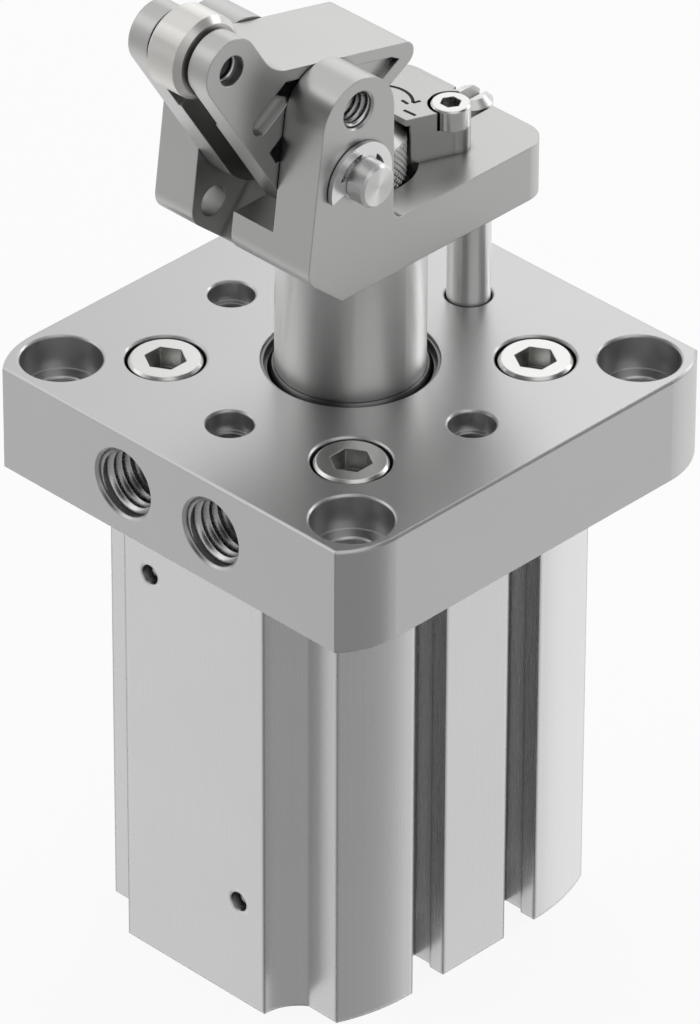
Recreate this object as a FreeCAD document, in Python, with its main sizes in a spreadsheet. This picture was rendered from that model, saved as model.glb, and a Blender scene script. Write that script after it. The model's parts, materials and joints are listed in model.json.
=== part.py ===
"""Stopper cylinder: a pneumatic cylinder with a roller lever on a forked head.

The frame is in millimetres with +Z up.  The origin is the centre of the barrel's lower face,
-Y is the side with the two air ports and +X is the side that the pivot pin's clip faces.
The piston rod is drawn extended and the roller lever is drawn raised.
"""
import FreeCAD, Part
import math
import os
from types import SimpleNamespace

import Sketcher

DOC = FreeCAD.newDocument("StopperCylinder")

SIZES = {
    # barrel
    "barrel_half": 23.6,
    "barrel_flat_inset": 2.5,
    "barrel_side_radius": 28.2,
    "bore_radius": 16.0,
    "pad_half": 12.95,
    "pad_rise": 5.4,
    "pad_flare": 6.5,
    "slot_center": 8.8,
    "slot_mouth": 5.85,
    "slot_lip": 2.5,
    "slot_inside": 6.9,
    "slot_depth": 5.8,
    "channel_offset": 8.15,
    "channel_inset": 5.8,
    "channel_radius": 1.4,
    "plug_radius": 1.45,
    "plug_sink": 0.9,
    "drill_rise": 0.7,
    "ring_foot": 3.4,
    "ring_groove_height": 1.6,
    "ring_groove_depth": 1.3,
    # flange plate
    "plate_thick": 15.5,
    "plate_half": 33.75,
    "plate_corner": 11.75,
    "plate_corner_reach": 8.0,
    "plate_edge": 0.3,
    "spigot_depth": 7.0,
    "spigot_clearance": 0.05,
    "mount_inset": 7.0,
    "mount_hole": 3.3,
    "mount_sink": 5.5,
    "mount_sink_depth": 5.1,
    "barrel_screw_offset": 17.12,
    "big_screw_shank": 3.0,
    "big_screw_head": 5.0,
    "big_screw_head_height": 6.0,
    "big_screw_hex": 5.0,
    "big_screw_edge": 0.4,
    "big_screw_reach": 20.0,
    "big_screw_hole": 22.0,
    "big_screw_play": 0.4,
    "sink_edge": 0.25,
    "guide_offset": 22.17,
    "guide_radius": 2.95,
    "guide_seat_play": 0.2,
    "guide_seat_depth": 3.0,
    "guide_thread": 2.4,
    "guide_thread_depth": 9.0,
    "guide_end": 1.0,
    "guide_slot": 2.1,
    "guide_slot_depth": 1.8,
    "guide_over": 0.9,
    "port_offset": 8.1,
    "port_drop": 7.75,
    "port_radius": 4.85,
    "port_edge": 0.35,
    "port_depth": 8.0,
    "wiper_radius": 11.9,
    "wiper_depth": 4.2,
    "wiper_sink": 0.4,
    "wiper_case": 0.9,
    "wiper_wall": 0.45,
    "wiper_lip": 0.3,
    "lip_gap": 0.03,
    "rod_hole_play": 0.4,
    "seal_radius": 13.0,
    "seal_height": 3.6,
    "seal_above": 1.2,
    "bush_wall": 1.5,
    "bush_play": 0.04,
    "cord_section": 1.9,
    "cord_groove_depth": 1.5,
    "cord_from_plate": 2.4,
    # rod and piston
    "rod_radius": 10.0,
    "rod_showing": 22.2,
    "rod_spigot": 8.0,
    "rod_spigot_height": 4.0,
    "rod_bore": 6.35,
    "rod_floor": 4.0,
    "rod_stub": 5.0,
    "stroke": 20.0,
    "buffer_height": 3.5,
    "buffer_inner": 11.6,
    "buffer_wall": 2.6,
    "piston_height": 20.0,
    "piston_play": 0.15,
    "seal_groove_height": 2.8,
    "seal_groove_depth": 2.6,
    "seal_groove_end": 1.8,
    "band_height": 4.0,
    "band_thick": 0.9,
    "magnet_height": 3.2,
    "magnet_thick": 3.4,
    "magnet_play": 0.45,
    "land_height": 1.2,
    "nut_height": 5.0,
    "nut_flats": 16.0,
    "cap_height": 10.4,
    "cap_pocket": 10.8,
    # forked head
    "head_half": 14.0,
    "slot_half": 7.15,
    "arm_thick": 8.0,
    "arm_past_guide": 0.73,
    "arm_corner": 4.0,
    "arm_fork": 3.4,
    "arm_fork_inset": 3.57,
    "ear_back": 6.45,
    "ear_round": 6.4,
    "ear_center_z": 25.3,
    "ear_tilt": 7.5,
    "ear_inner_round": 1.8,
    "front_fillet": 3.0,
    "front_corner_z": 5.3,
    "front_foot": 15.7,
    "slot_floor": 9.8,
    "relief_top": 9.4,
    "relief_foot": 16.7,
    "relief_foot_z": 0.8,
    "ring_well": 8.75,
    "well_floor": 4.2,
    "lock_hole": 2.15,
    "lock_hole_y": 18.0,
    "lock_hole_z": 6.85,
    "ear_thread": 2.5,
    "ear_thread_y": 12.88,
    "ear_thread_z": 27.25,
    # lever, pivot and roller
    "pivot_z": 17.5,
    "pin_radius": 3.0,
    "pin_half": 17.67,
    "pin_edge": 0.37,
    "pin_play": 0.05,
    "face_gap": 0.1,
    "clip_thick": 0.7,
    "clip_radius": 5.45,
    "clip_shift": 0.43,
    "clip_tilt": 69.0,
    "clip_groove": 2.5,
    "clip_room": 4.1,
    "clip_prong": 1.4,
    "clip_foot_tilt": 128.0,
    "lever_half": 7.05,
    "hub_radius": 7.45,
    "roller_back": 15.65,
    "roller_up": 19.3,
    "fork_round": 4.4,
    "tail_top": 13.94,
    "tail_tilt": 13.1,
    "tail_under": 2.16,
    "tail_under_tilt": 29.8,
    "tail_fillet": 6.5,
    "nose_round": 1.75,
    "fork_gap": 3.65,
    "fork_gap_low": 3.1,
    "fork_step": 15.7,
    "fork_depth": 3.6,
    "roller_room": 6.6,
    "pocket_depth": 1.0,
    "pocket_top": 1.75,
    "pocket_under": 2.2,
    "pocket_back": 6.05,
    "pocket_foot": 8.0,
    "pocket_tip": 13.0,
    "branch_y": 10.4,
    "branch_z": 9.1,
    "branch_half": 1.53,
    "branch_tilt": 33.0,
    "recess_depth": 3.6,
    "recess_end": 1.5,
    "hub_recess_out": 9.0,
    "hub_recess_out_z": 4.4,
    "hub_recess_in": 5.4,
    "hub_recess_top": 6.9,
    "hub_recess_low": 2.3,
    "hub_recess_low_out": 7.85,
    "roller_radius": 5.7,
    "roller_half": 3.05,
    "roller_edge": 0.8,
    "roller_wall": 2.9,
    "roller_pin": 2.1,
    "roller_pin_sink": 2.0,
    # shock absorber
    "absorber_wall": 1.2,
    "absorber_play": 0.1,
    "absorber_neck": 4.2,
    "neck_drop": 0.3,
    "plunger_radius": 2.0,
    "plunger_gap": 0.08,
    "plunger_play": 0.05,
    "plunger_head": 4.0,
    "plunger_head_height": 3.0,
    "plunger_guide": 6.0,
    "absorber_spring_wire": 1.1,
    "absorber_spring_radius": 2.9,
    "absorber_spring_turns": 5.0,
    "knurl_radius": 7.0,
    "knurl_edge": 1.5,
    "knurl_foot_edge": 0.5,
    "knurl_seat": 1.8,
    "knurl_play": 0.08,
    # cover over the adjusting ring
    "cover_front": 4.2,
    "cover_back": 14.2,
    "cover_front_half": 5.75,
    "cover_side_tilt": 21.5,
    "cover_height": 6.9,
    "cover_lip": 0.95,
    "cover_lip_out": 0.65,
    "cover_corner": 1.9,
    "cover_ring_room": 0.45,
    "cover_screw_x": 6.85,
    "cover_screw_y": 11.3,
    "cover_notch": 3.05,
    "cover_notch_tilt": 38.5,
    "cover_notch_reach": 12.2,
    "cover_seat": 4.1,
    "small_screw_shank": 1.5,
    "small_screw_head": 2.65,
    "small_screw_head_height": 3.0,
    "small_screw_hex": 2.5,
    "small_screw_edge": 0.22,
    "small_screw_reach": 6.0,
    "small_screw_hole": 6.6,
}


class Formula:
    """A length worked out from the sheet: its value and the text that the sheet understands."""

    def __init__(self, value, text):
        self.value = float(value)
        self.text = text

    def __add__(self, other):
        other = formula(other)
        return Formula(self.value + other.value, f"({self.text} + {other.text})")

    def __sub__(self, other):
        other = formula(other)
        return Formula(self.value - other.value, f"({self.text} - {other.text})")

    def __mul__(self, other):
        other = formula(other)
        return Formula(self.value * other.value, f"({self.text} * {other.text})")

    def __truediv__(self, other):
        other = formula(other)
        return Formula(self.value / other.value, f"({self.text} / {other.text})")

    def __neg__(self):
        return Formula(-self.value, f"(0 - {self.text})")

    def __radd__(self, other):
        return formula(other) + self

    def __rsub__(self, other):
        return formula(other) - self

    def __rmul__(self, other):
        return formula(other) * self


def formula(number):
    """Take a plain number as a formula."""
    if isinstance(number, Formula):
        return number
    return Formula(number, f"({float(number)!r})")


def root(number):
    return Formula(math.sqrt(number.value), f"sqrt({number.text})")


def sine(degrees):
    return Formula(math.sin(math.radians(degrees.value)), f"sin({degrees.text} * 1deg)")


def cosine(degrees):
    return Formula(math.cos(math.radians(degrees.value)), f"cos({degrees.text} * 1deg)")


def tangent(degrees):
    return Formula(math.tan(math.radians(degrees.value)), f"tan({degrees.text} * 1deg)")


def make_sheet():
    """Write the driving sizes into the sheet and give each one back as a formula."""
    sheet = DOC.addObject("Spreadsheet::Sheet", "Sizes")
    for row, (name, number) in enumerate(SIZES.items(), start=1):
        sheet.set(f"A{row}", name)
        sheet.set(f"B{row}", str(number))
        sheet.setAlias(f"B{row}", name)
    DOC.recompute()
    return SimpleNamespace(**{name: Formula(number, f"Sizes.{name}") for name, number in SIZES.items()})


S = make_sheet()

# Levels and places that several pieces share.
PAD_FACE = S.barrel_half + S.pad_rise
CHANNEL_CENTER = PAD_FACE - S.channel_inset
CAP_BOTTOM = S.ring_foot + S.ring_groove_height
CAP_TOP = CAP_BOTTOM + S.cap_height
PISTON_BOTTOM = CAP_TOP + S.buffer_height + S.stroke
PISTON_TOP = PISTON_BOTTOM + S.piston_height
SPIGOT_Z = PISTON_TOP + S.buffer_height
BARREL_TOP = SPIGOT_Z + S.spigot_depth
PLATE_TOP = BARREL_TOP + S.plate_thick
HEAD_Z = PLATE_TOP + S.rod_showing
ARM_TOP = HEAD_Z + S.arm_thick
PIVOT_Y = -(S.ear_back + S.ear_round)
PIVOT_Z = HEAD_Z + S.pivot_z
ROLLER_Y = PIVOT_Y - S.roller_back
ROLLER_Z = PIVOT_Z + S.roller_up
COVER_TOP = ARM_TOP + S.cover_height
RING_TOP = COVER_TOP - S.cover_lip
RING_BOTTOM = HEAD_Z + S.well_floor + S.knurl_seat
SEAL_TOP = PLATE_TOP - S.wiper_depth - S.seal_above
BUSH_TOP = SEAL_TOP - S.seal_height - S.seal_above
UPPER_DRILL = SPIGOT_Z - S.buffer_height / 2
LOWER_DRILL = CAP_TOP + S.drill_rise
SOCKET_TURN = 30.0
SHORT = formula(0.01)
LONG = formula(200)
ZERO = formula(0)


class Outline:
    """A closed outline of straight runs and arcs, every point of it a formula."""

    def __init__(self, x, y):
        self.points = [(formula(x), formula(y))]
        self.arcs = {}

    def line(self, x, y):
        self.points.append((formula(x), formula(y)))
        return self

    def arc(self, x, y, cx, cy, clockwise=False):
        self.arcs[len(self.points) - 1] = (formula(cx), formula(cy), clockwise)
        return self.line(x, y)

    def draw(self, sketch):
        """Add the outline to a sketch and tie its points to the sheet."""
        count = len(self.points)
        ends = []
        for i, (x, y) in enumerate(self.points):
            start = FreeCAD.Vector(x.value, y.value, 0)
            nx, ny = self.points[(i + 1) % count]
            end = FreeCAD.Vector(nx.value, ny.value, 0)
            if i not in self.arcs:
                geo = sketch.addGeometry(Part.LineSegment(start, end), False)
                ends.append((geo, 1, 2))
                continue
            cx, cy, clockwise = self.arcs[i]
            center = FreeCAD.Vector(cx.value, cy.value, 0)
            first, last = (end, start) if clockwise else (start, end)
            circle = Part.Circle(center, FreeCAD.Vector(0, 0, 1), (start - center).Length)
            turn = [math.atan2(p.y - center.y, p.x - center.x) for p in (first, last)]
            geo = sketch.addGeometry(Part.ArcOfCircle(circle, turn[0], turn[1]), False)
            ends.append((geo, 2, 1) if clockwise else (geo, 1, 2))
            tie(sketch, geo, 3, cx, cy)
        for i, (geo, first, last) in enumerate(ends):
            following = ends[(i + 1) % count]
            sketch.addConstraint(Sketcher.Constraint("Coincident", geo, last, following[0], following[1]))
            x, y = self.points[i]
            if (i - 1) % count not in self.arcs:
                tie(sketch, geo, first, x, y)
                continue
            cx, cy, _ = self.arcs[(i - 1) % count]
            steep = abs(x.value - cx.value) > abs(y.value - cy.value)
            tie(sketch, geo, first, None if steep else x, y if steep else None)


def tie(sketch, geo, position, x, y):
    """Hold a point of a sketch at formulas for its x and y."""
    for kind, number in (("DistanceX", x), ("DistanceY", y)):
        if number is None:
            continue
        index = sketch.addConstraint(Sketcher.Constraint(kind, -1, 1, geo, position, number.value))
        sketch.setExpression(f"Constraints[{index}]", number.text)


def rectangle(x1, y1, x2, y2):
    return Outline(x1, y1).line(x2, y1).line(x2, y2).line(x1, y2)


def new_body(label):
    body = DOC.addObject("PartDesign::Body", label)
    body.Label = label
    return body


def new_sketch(body, plane, outlines=(), circles=(), offset=None):
    """Draw closed outlines and circles (x, y, radius) on one of a body's own origin planes."""
    sketch = body.newObject("Sketcher::SketchObject", "Sketch")
    face = [f for f in body.Origin.OriginFeatures if f.Role == plane][0]
    sketch.AttachmentSupport = [(face, "")]
    sketch.MapMode = "FlatFace"
    if offset is not None:
        sketch.setExpression("AttachmentOffset.Base.z", offset.text)
    for outline in outlines:
        outline.draw(sketch)
    for x, y, radius in circles:
        x, y, radius = formula(x), formula(y), formula(radius)
        center = FreeCAD.Vector(x.value, y.value, 0)
        circle = Part.Circle(center, FreeCAD.Vector(0, 0, 1), radius.value)
        geo = sketch.addGeometry(circle, False)
        tie(sketch, geo, 3, x, y)
        index = sketch.addConstraint(Sketcher.Constraint("Radius", geo, radius.value))
        sketch.setExpression(f"Constraints[{index}]", radius.text)
    return sketch


def pad(body, sketch, length, both=False, reverse=False):
    feature = body.newObject("PartDesign::Pad", "Pad")
    feature.Profile = sketch
    feature.SideType = "Symmetric" if both else "One side"
    feature.Reversed = reverse
    feature.setExpression("Length", length.text)
    DOC.recompute()
    return feature


def pocket(body, sketch, length, both=False, reverse=False):
    """Cut a sketch into a body and make sure that it took material away."""
    before = body.Shape.Volume
    feature = body.newObject("PartDesign::Pocket", "Pocket")
    feature.Profile = sketch
    feature.SideType = "Symmetric" if both else "One side"
    feature.Reversed = reverse
    feature.setExpression("Length", length.text)
    DOC.recompute()
    check_cut(body, before)
    return feature


def check_cut(body, before):
    if body.Shape.Volume > before - 1e-4:
        raise RuntimeError(f"a cut in {body.Label} removes nothing")


def turn(body, sketch, kind="PartDesign::Revolution"):
    """Revolve a sketch about its own vertical axis, or cut it as a groove."""
    before = body.Shape.Volume if kind.endswith("Groove") else None
    feature = body.newObject(kind, "Turn")
    feature.Profile = sketch
    feature.ReferenceAxis = (sketch, ["V_Axis"])
    feature.Angle = 360.0
    DOC.recompute()
    if before is not None:
        check_cut(body, before)
    return feature


def dress(body, kind, edges, size):
    """Fillet or chamfer the edges of a body's shape that a test accepts."""
    tip = body.Tip
    names = [f"Edge{i}" for i, edge in enumerate(tip.Shape.Edges, start=1) if edges(edge)]
    if not names:
        raise RuntimeError(f"no edge to dress in {body.Label}")
    feature = body.newObject(kind, "Dress")
    feature.Base = (tip, names)
    feature.setExpression("Radius" if kind.endswith("Fillet") else "Size", size.text)
    DOC.recompute()
    return feature


def round_edge(radius, axis, level):
    """Accept whole circles of a radius whose centre lies at a level along an axis (0, 1 or 2)."""
    def accepts(edge):
        curve = edge.Curve
        if not isinstance(curve, Part.Circle) or abs(curve.Radius - radius.value) > 1e-4:
            return False
        return abs(curve.Center[axis] - level.value) < 1e-4
    return accepts


def edge_near(axis, places):
    """Accept straight edges along an axis that pass through one of the given places."""
    others = [i for i in range(3) if i != axis]

    def accepts(edge):
        if not isinstance(edge.Curve, Part.Line) or abs(edge.Curve.Direction[axis]) < 0.999:
            return False
        middle = edge.CenterOfMass
        spots = [[formula(number).value for number in place] for place in places]
        return any(all(abs(middle[i] - spot[k]) < 1e-3 for k, i in enumerate(others)) for spot in spots)
    return accepts


def turned(label, outline):
    """A body revolved about Z from an outline of radius and height."""
    body = new_body(label)
    turn(body, new_sketch(body, "XZ_Plane", [outline]))
    return body


def ring(label, inner, outer, bottom, top):
    return turned(label, rectangle(inner, bottom, outer, top))


def place(item, x=ZERO, y=ZERO, z=ZERO, axis=FreeCAD.Vector(0, 0, 1), angle=0.0):
    """Set where a piece sits; its position follows the sheet."""
    item.Placement = FreeCAD.Placement(FreeCAD.Vector(0, 0, 0), FreeCAD.Rotation(axis, angle))
    for name, number in (("x", x), ("y", y), ("z", z)):
        item.setExpression(f"Placement.Base.{name}", formula(number).text)
    return item


def group(label, items):
    compound = DOC.addObject("Part::Compound", label)
    compound.Label = label
    compound.Links = items
    return compound


def four_ways(offset):
    return [(offset * i, offset * j) for i in (-1, 1) for j in (-1, 1)]


def barrel():
    """Extruded aluminium barrel with two sensor slots a side and an air channel pad in front."""
    body = new_body("barrel")
    half = S.barrel_half
    flat = half - S.barrel_flat_inset
    flare_x = S.pad_half + S.pad_flare
    foot_x = flare_x - root(S.pad_flare * S.pad_flare - S.pad_rise * S.pad_rise)
    side_center = half - S.barrel_side_radius
    drop = root(S.barrel_side_radius * S.barrel_side_radius
                - (flat - side_center) * (flat - side_center))
    tangent_y = half - drop
    outline = Outline(S.pad_half, -PAD_FACE)
    outline.arc(foot_x, -half, flare_x, -PAD_FACE, clockwise=True)
    outline.line(flat, -half)
    outline.arc(half, -tangent_y, side_center, -tangent_y)
    outline.line(half, tangent_y)
    outline.arc(flat, half, side_center, tangent_y)
    outline.line(-flat, half)
    outline.arc(-half, tangent_y, -side_center, tangent_y)
    outline.line(-half, -tangent_y)
    outline.arc(-flat, -half, -side_center, -tangent_y)
    outline.line(-foot_x, -half)
    outline.arc(-S.pad_half, -PAD_FACE, -flare_x, -PAD_FACE, clockwise=True)
    pad(body, new_sketch(body, "XY_Plane", [outline]), BARREL_TOP)
    slots = []
    for side in (-1, 1):
        for way in (-1, 1):
            face = (half + SHORT) * side
            lip = (half - S.slot_lip) * side
            floor = (half - S.slot_depth) * side
            near = (S.slot_center - S.slot_mouth / 2) * way
            far = (S.slot_center + S.slot_mouth / 2) * way
            wide_near = (S.slot_center - S.slot_inside / 2) * way
            wide_far = (S.slot_center + S.slot_inside / 2) * way
            slot = Outline(face, near).line(face, far).line(lip, far).line(lip, wide_far)
            slot.line(floor, wide_far).line(floor, wide_near).line(lip, wide_near).line(lip, near)
            slots.append(slot)
    pocket(body, new_sketch(body, "XY_Plane", slots), BARREL_TOP, reverse=True)
    bore = new_sketch(body, "XY_Plane", circles=[(0, 0, S.bore_radius)])
    pocket(body, bore, BARREL_TOP, reverse=True)
    groove = rectangle(S.bore_radius - S.spigot_clearance, S.ring_foot,
                       S.bore_radius + S.ring_groove_depth, CAP_BOTTOM)
    turn(body, new_sketch(body, "XZ_Plane", [groove]), "PartDesign::Groove")
    threads = [(x, y, S.big_screw_shank) for x, y in four_ways(S.barrel_screw_offset)]
    pocket(body, new_sketch(body, "XY_Plane", circles=threads, offset=BARREL_TOP), S.big_screw_hole)
    for side, level in ((-1, UPPER_DRILL), (1, LOWER_DRILL)):
        x = S.channel_offset * side
        run = new_sketch(body, "XY_Plane", circles=[(x, -CHANNEL_CENTER, S.channel_radius)],
                         offset=BARREL_TOP)
        pocket(body, run, BARREL_TOP - level)
        cross = new_sketch(body, "XZ_Plane", circles=[(x, level, S.plug_radius)], offset=PAD_FACE)
        pocket(body, cross, PAD_FACE)
    return body


def flange_plate():
    """Square flange plate: four mounting holes, barrel screws, ports and the rod's stepped bore."""
    body = new_body("flange_plate")
    half, reach = S.plate_half, S.plate_corner_reach
    start, cx = half - reach, half - S.plate_corner
    end_x = cx + root(S.plate_corner * S.plate_corner - reach * reach)
    outline = Outline(end_x, -half)
    outline.arc(half, -start, cx, -start).line(half, start)
    outline.arc(end_x, half, cx, start).line(-end_x, half)
    outline.arc(-half, start, -cx, start).line(-half, -start)
    outline.arc(-end_x, -half, -cx, -start)
    base = new_sketch(body, "XY_Plane", [outline], offset=BARREL_TOP)
    pad(body, base, S.plate_thick)

    def top_edge(edge):
        return all(abs(v.Z - PLATE_TOP.value) < 1e-4 for v in edge.Vertexes)
    dress(body, "PartDesign::Chamfer", top_edge, S.plate_edge)
    spigot_r = S.bore_radius - S.spigot_clearance
    spigot = new_sketch(body, "XY_Plane", circles=[(0, 0, spigot_r)], offset=BARREL_TOP)
    pad(body, spigot, S.spigot_depth, reverse=True)

    rod_hole = S.rod_radius + S.rod_hole_play
    bush_r = S.rod_radius + S.bush_wall
    seal_bottom = SEAL_TOP - S.seal_height
    steps = Outline(0, SPIGOT_Z - SHORT).line(bush_r, SPIGOT_Z - SHORT).line(bush_r, BUSH_TOP)
    steps.line(rod_hole, BUSH_TOP).line(rod_hole, seal_bottom).line(S.seal_radius, seal_bottom)
    steps.line(S.seal_radius, SEAL_TOP).line(rod_hole, SEAL_TOP)
    steps.line(rod_hole, PLATE_TOP - S.wiper_depth).line(S.wiper_radius, PLATE_TOP - S.wiper_depth)
    steps.line(S.wiper_radius, PLATE_TOP + SHORT).line(0, PLATE_TOP + SHORT)
    turn(body, new_sketch(body, "XZ_Plane", [steps]), "PartDesign::Groove")
    cord_top = BARREL_TOP - S.cord_from_plate
    cord = rectangle(spigot_r - S.cord_groove_depth, cord_top - S.cord_section,
                     spigot_r + S.spigot_clearance, cord_top)
    turn(body, new_sketch(body, "XZ_Plane", [cord]), "PartDesign::Groove")

    mounts = four_ways(half - S.mount_inset)
    screws = four_ways(S.barrel_screw_offset)
    seat_r = S.guide_radius + S.guide_seat_play
    guides = [(S.guide_offset, ZERO), (-S.guide_offset, ZERO),
              (ZERO, S.guide_offset), (ZERO, -S.guide_offset)]
    screw_hole = S.big_screw_shank + S.big_screw_play
    screw_sink = S.big_screw_head + S.big_screw_play

    def drill(spots, radius, depth):
        circles = [(x, y, radius) for x, y in spots]
        pocket(body, new_sketch(body, "XY_Plane", circles=circles, offset=PLATE_TOP), depth)

    drill(mounts, S.mount_sink, S.mount_sink_depth)
    drill(mounts, S.mount_hole, S.plate_thick)
    mount_floor = PLATE_TOP - S.mount_sink_depth
    dress(body, "PartDesign::Chamfer", round_edge(S.mount_hole, 2, mount_floor), S.sink_edge)
    drill(screws, screw_sink, S.big_screw_head_height)
    drill(screws, screw_hole, S.plate_thick)
    drill(guides, seat_r, S.guide_seat_depth)
    drill(guides, S.guide_thread, S.guide_seat_depth + S.guide_thread_depth)
    for radius in (S.mount_sink, screw_sink, seat_r):
        dress(body, "PartDesign::Chamfer", round_edge(radius, 2, PLATE_TOP), S.sink_edge)

    port_z = PLATE_TOP - S.port_drop
    ports = [(S.port_offset * side, port_z, S.port_radius) for side in (-1, 1)]
    pocket(body, new_sketch(body, "XZ_Plane", circles=ports, offset=half), S.port_depth)
    dress(body, "PartDesign::Chamfer", round_edge(S.port_radius, 1, -half), S.port_edge)
    bleed = [(S.channel_offset * side, port_z, S.channel_radius) for side in (-1, 1)]
    bleed_depth = half - CHANNEL_CENTER + S.channel_radius
    pocket(body, new_sketch(body, "XZ_Plane", circles=bleed, offset=half), bleed_depth)
    drops = [(S.channel_offset * side, -CHANNEL_CENTER, S.channel_radius) for side in (-1, 1)]
    drop = new_sketch(body, "XY_Plane", circles=drops, offset=BARREL_TOP)
    pocket(body, drop, S.plate_thick - S.port_drop, reverse=True)
    return body


def cap_screw(head, head_height, head_edge, shank, length, hexagon):
    """One socket cap screw about Z, its head's top at height zero and its socket half as deep."""
    body = new_body("screw")
    outline = Outline(0, 0).line(0, -head_height - length).line(shank, -head_height - length)
    outline.line(shank, -head_height).line(head, -head_height).line(head, -head_edge)
    outline.line(head - head_edge, 0)
    turn(body, new_sketch(body, "XZ_Plane", [outline]))
    across = hexagon / 2
    corner = hexagon / root(formula(3))
    half = corner / 2
    hexagon_outline = Outline(corner, 0).line(half, across).line(-half, across).line(-corner, 0)
    hexagon_outline.line(-half, -across).line(half, -across)
    pocket(body, new_sketch(body, "XY_Plane", [hexagon_outline]), head_height / 2)
    return body


def barrel_screws():
    """Four screws that clamp the flange plate to the barrel."""
    items = []
    length = S.plate_thick - S.big_screw_head_height + S.big_screw_reach
    for x, y in four_ways(S.barrel_screw_offset):
        screw = cap_screw(S.big_screw_head, S.big_screw_head_height, S.big_screw_edge,
                          S.big_screw_shank, length, S.big_screw_hex)
        items.append(place(screw, x, y, PLATE_TOP, angle=SOCKET_TURN))
    return group("barrel_screws", items)


def guide_rod():
    """Fixed guide rod with a screwdriver slot; the head's forked arm slides along it."""
    body = new_body("guide_rod")
    r, end = S.guide_radius, S.guide_end
    top = ARM_TOP + S.guide_over - PLATE_TOP
    seat = -S.guide_seat_depth
    outline = Outline(0, seat - S.guide_thread_depth).line(S.guide_thread, seat - S.guide_thread_depth)
    outline.line(S.guide_thread, seat).line(r, seat).line(r, top - end).line(r - end, top).line(0, top)
    turn(body, new_sketch(body, "XZ_Plane", [outline]))
    half = S.guide_slot / 2
    slot = rectangle(-half, top - S.guide_slot_depth, half, top + SHORT)
    pocket(body, new_sketch(body, "XZ_Plane", [slot]), LONG, both=True)
    return place(body, ZERO, S.guide_offset, PLATE_TOP)


def rod_wiper():
    """Cased wiper in the plate's recess: a case, a groove and a lip that runs on the rod."""
    top = PLATE_TOP - S.wiper_sink
    bottom = PLATE_TOP - S.wiper_depth
    outer = S.wiper_radius
    lip = S.rod_radius + S.lip_gap
    groove = top - S.wiper_case
    outline = Outline(lip + S.wiper_wall, bottom).line(outer, bottom).line(outer, top)
    outline.line(outer - S.wiper_wall, top).line(outer - S.wiper_wall, groove)
    outline.line(lip + S.wiper_case, groove).line(lip + S.wiper_lip, top).line(lip, top)
    outline.line(lip, groove)
    return turned("rod_wiper", outline)


def rod_seal():
    return ring("rod_seal", S.rod_radius + S.lip_gap, S.seal_radius, SEAL_TOP - S.seal_height, SEAL_TOP)


def rod_bush():
    return ring("rod_bush", S.rod_radius + S.bush_play, S.rod_radius + S.bush_wall, SPIGOT_Z, BUSH_TOP)


def cord_ring(label, bottom):
    """A sealing ring in its groove, pressed to the bore."""
    inner = S.bore_radius - S.spigot_clearance - S.cord_groove_depth
    return ring(label, inner, S.bore_radius, bottom, bottom + S.cord_section)


def channel_plugs():
    """Balls pressed into the cross drillings of the barrel's pad."""
    items = []
    for side, level in ((-1, UPPER_DRILL), (1, LOWER_DRILL)):
        ball = DOC.addObject("Part::Sphere", "ball")
        ball.setExpression("Radius", S.plug_radius.text)
        depth = S.plug_radius + S.plug_sink - PAD_FACE
        items.append(place(ball, S.channel_offset * side, depth, level))
    return group("channel_plugs", items)


def base_cap():
    """Disc that closes the barrel, with a groove for its sealing ring and room for the rod's nut."""
    outer = S.bore_radius - S.spigot_clearance
    waist = outer - S.cord_groove_depth
    low = CAP_BOTTOM + S.cap_height / 2 - S.cord_section / 2
    outline = Outline(0, CAP_BOTTOM).line(outer, CAP_BOTTOM).line(outer, low).line(waist, low)
    outline.line(waist, low + S.cord_section).line(outer, low + S.cord_section).line(outer, CAP_TOP)
    outline.line(S.cap_pocket, CAP_TOP).line(S.cap_pocket, CAP_TOP - S.nut_height / 2)
    outline.line(0, CAP_TOP - S.nut_height / 2)
    return turned("base_cap", outline)


def base_ring():
    """Spring ring in the barrel's groove under the cap; its ends leave a gap for pliers."""
    body = new_body("base_ring")
    bottom = S.ring_foot + S.face_gap / 2
    height = S.ring_groove_height - S.face_gap
    inner = S.bore_radius - S.ring_groove_depth
    outer = S.bore_radius + S.ring_groove_depth - S.face_gap
    sketch = new_sketch(body, "XY_Plane", circles=[(0, 0, outer), (0, 0, inner)], offset=bottom)
    pad(body, sketch, height)
    gap = rectangle(-S.pin_radius, ZERO, S.pin_radius, S.bore_radius * 2)
    pocket(body, new_sketch(body, "XY_Plane", [gap], offset=bottom), height, reverse=True)
    return body


def piston_rod():
    """Hollow rod that carries the head on its spigot and the piston on its lower stub."""
    floor = PISTON_TOP + S.rod_floor
    top = HEAD_Z + S.rod_spigot_height
    stub_end = PISTON_BOTTOM - S.nut_height
    outline = Outline(0, stub_end).line(S.rod_stub, stub_end).line(S.rod_stub, PISTON_TOP)
    outline.line(S.rod_radius, PISTON_TOP).line(S.rod_radius, HEAD_Z).line(S.rod_spigot, HEAD_Z)
    outline.line(S.rod_spigot, top).line(S.rod_bore, top).line(S.rod_bore, floor).line(0, floor)
    return turned("piston_rod", outline)


def piston_levels():
    """Heights of the piston's grooves, from the top: seal, band, magnet and seal."""
    heights = (("seal_high", S.seal_groove_height), ("band", S.band_height),
               ("magnet", S.magnet_height), ("seal_low", S.seal_groove_height))
    levels = {}
    top = PISTON_TOP - S.seal_groove_end
    for name, height in heights:
        levels[name] = (top - height, top)
        top = top - height - S.land_height
    return levels


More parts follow.
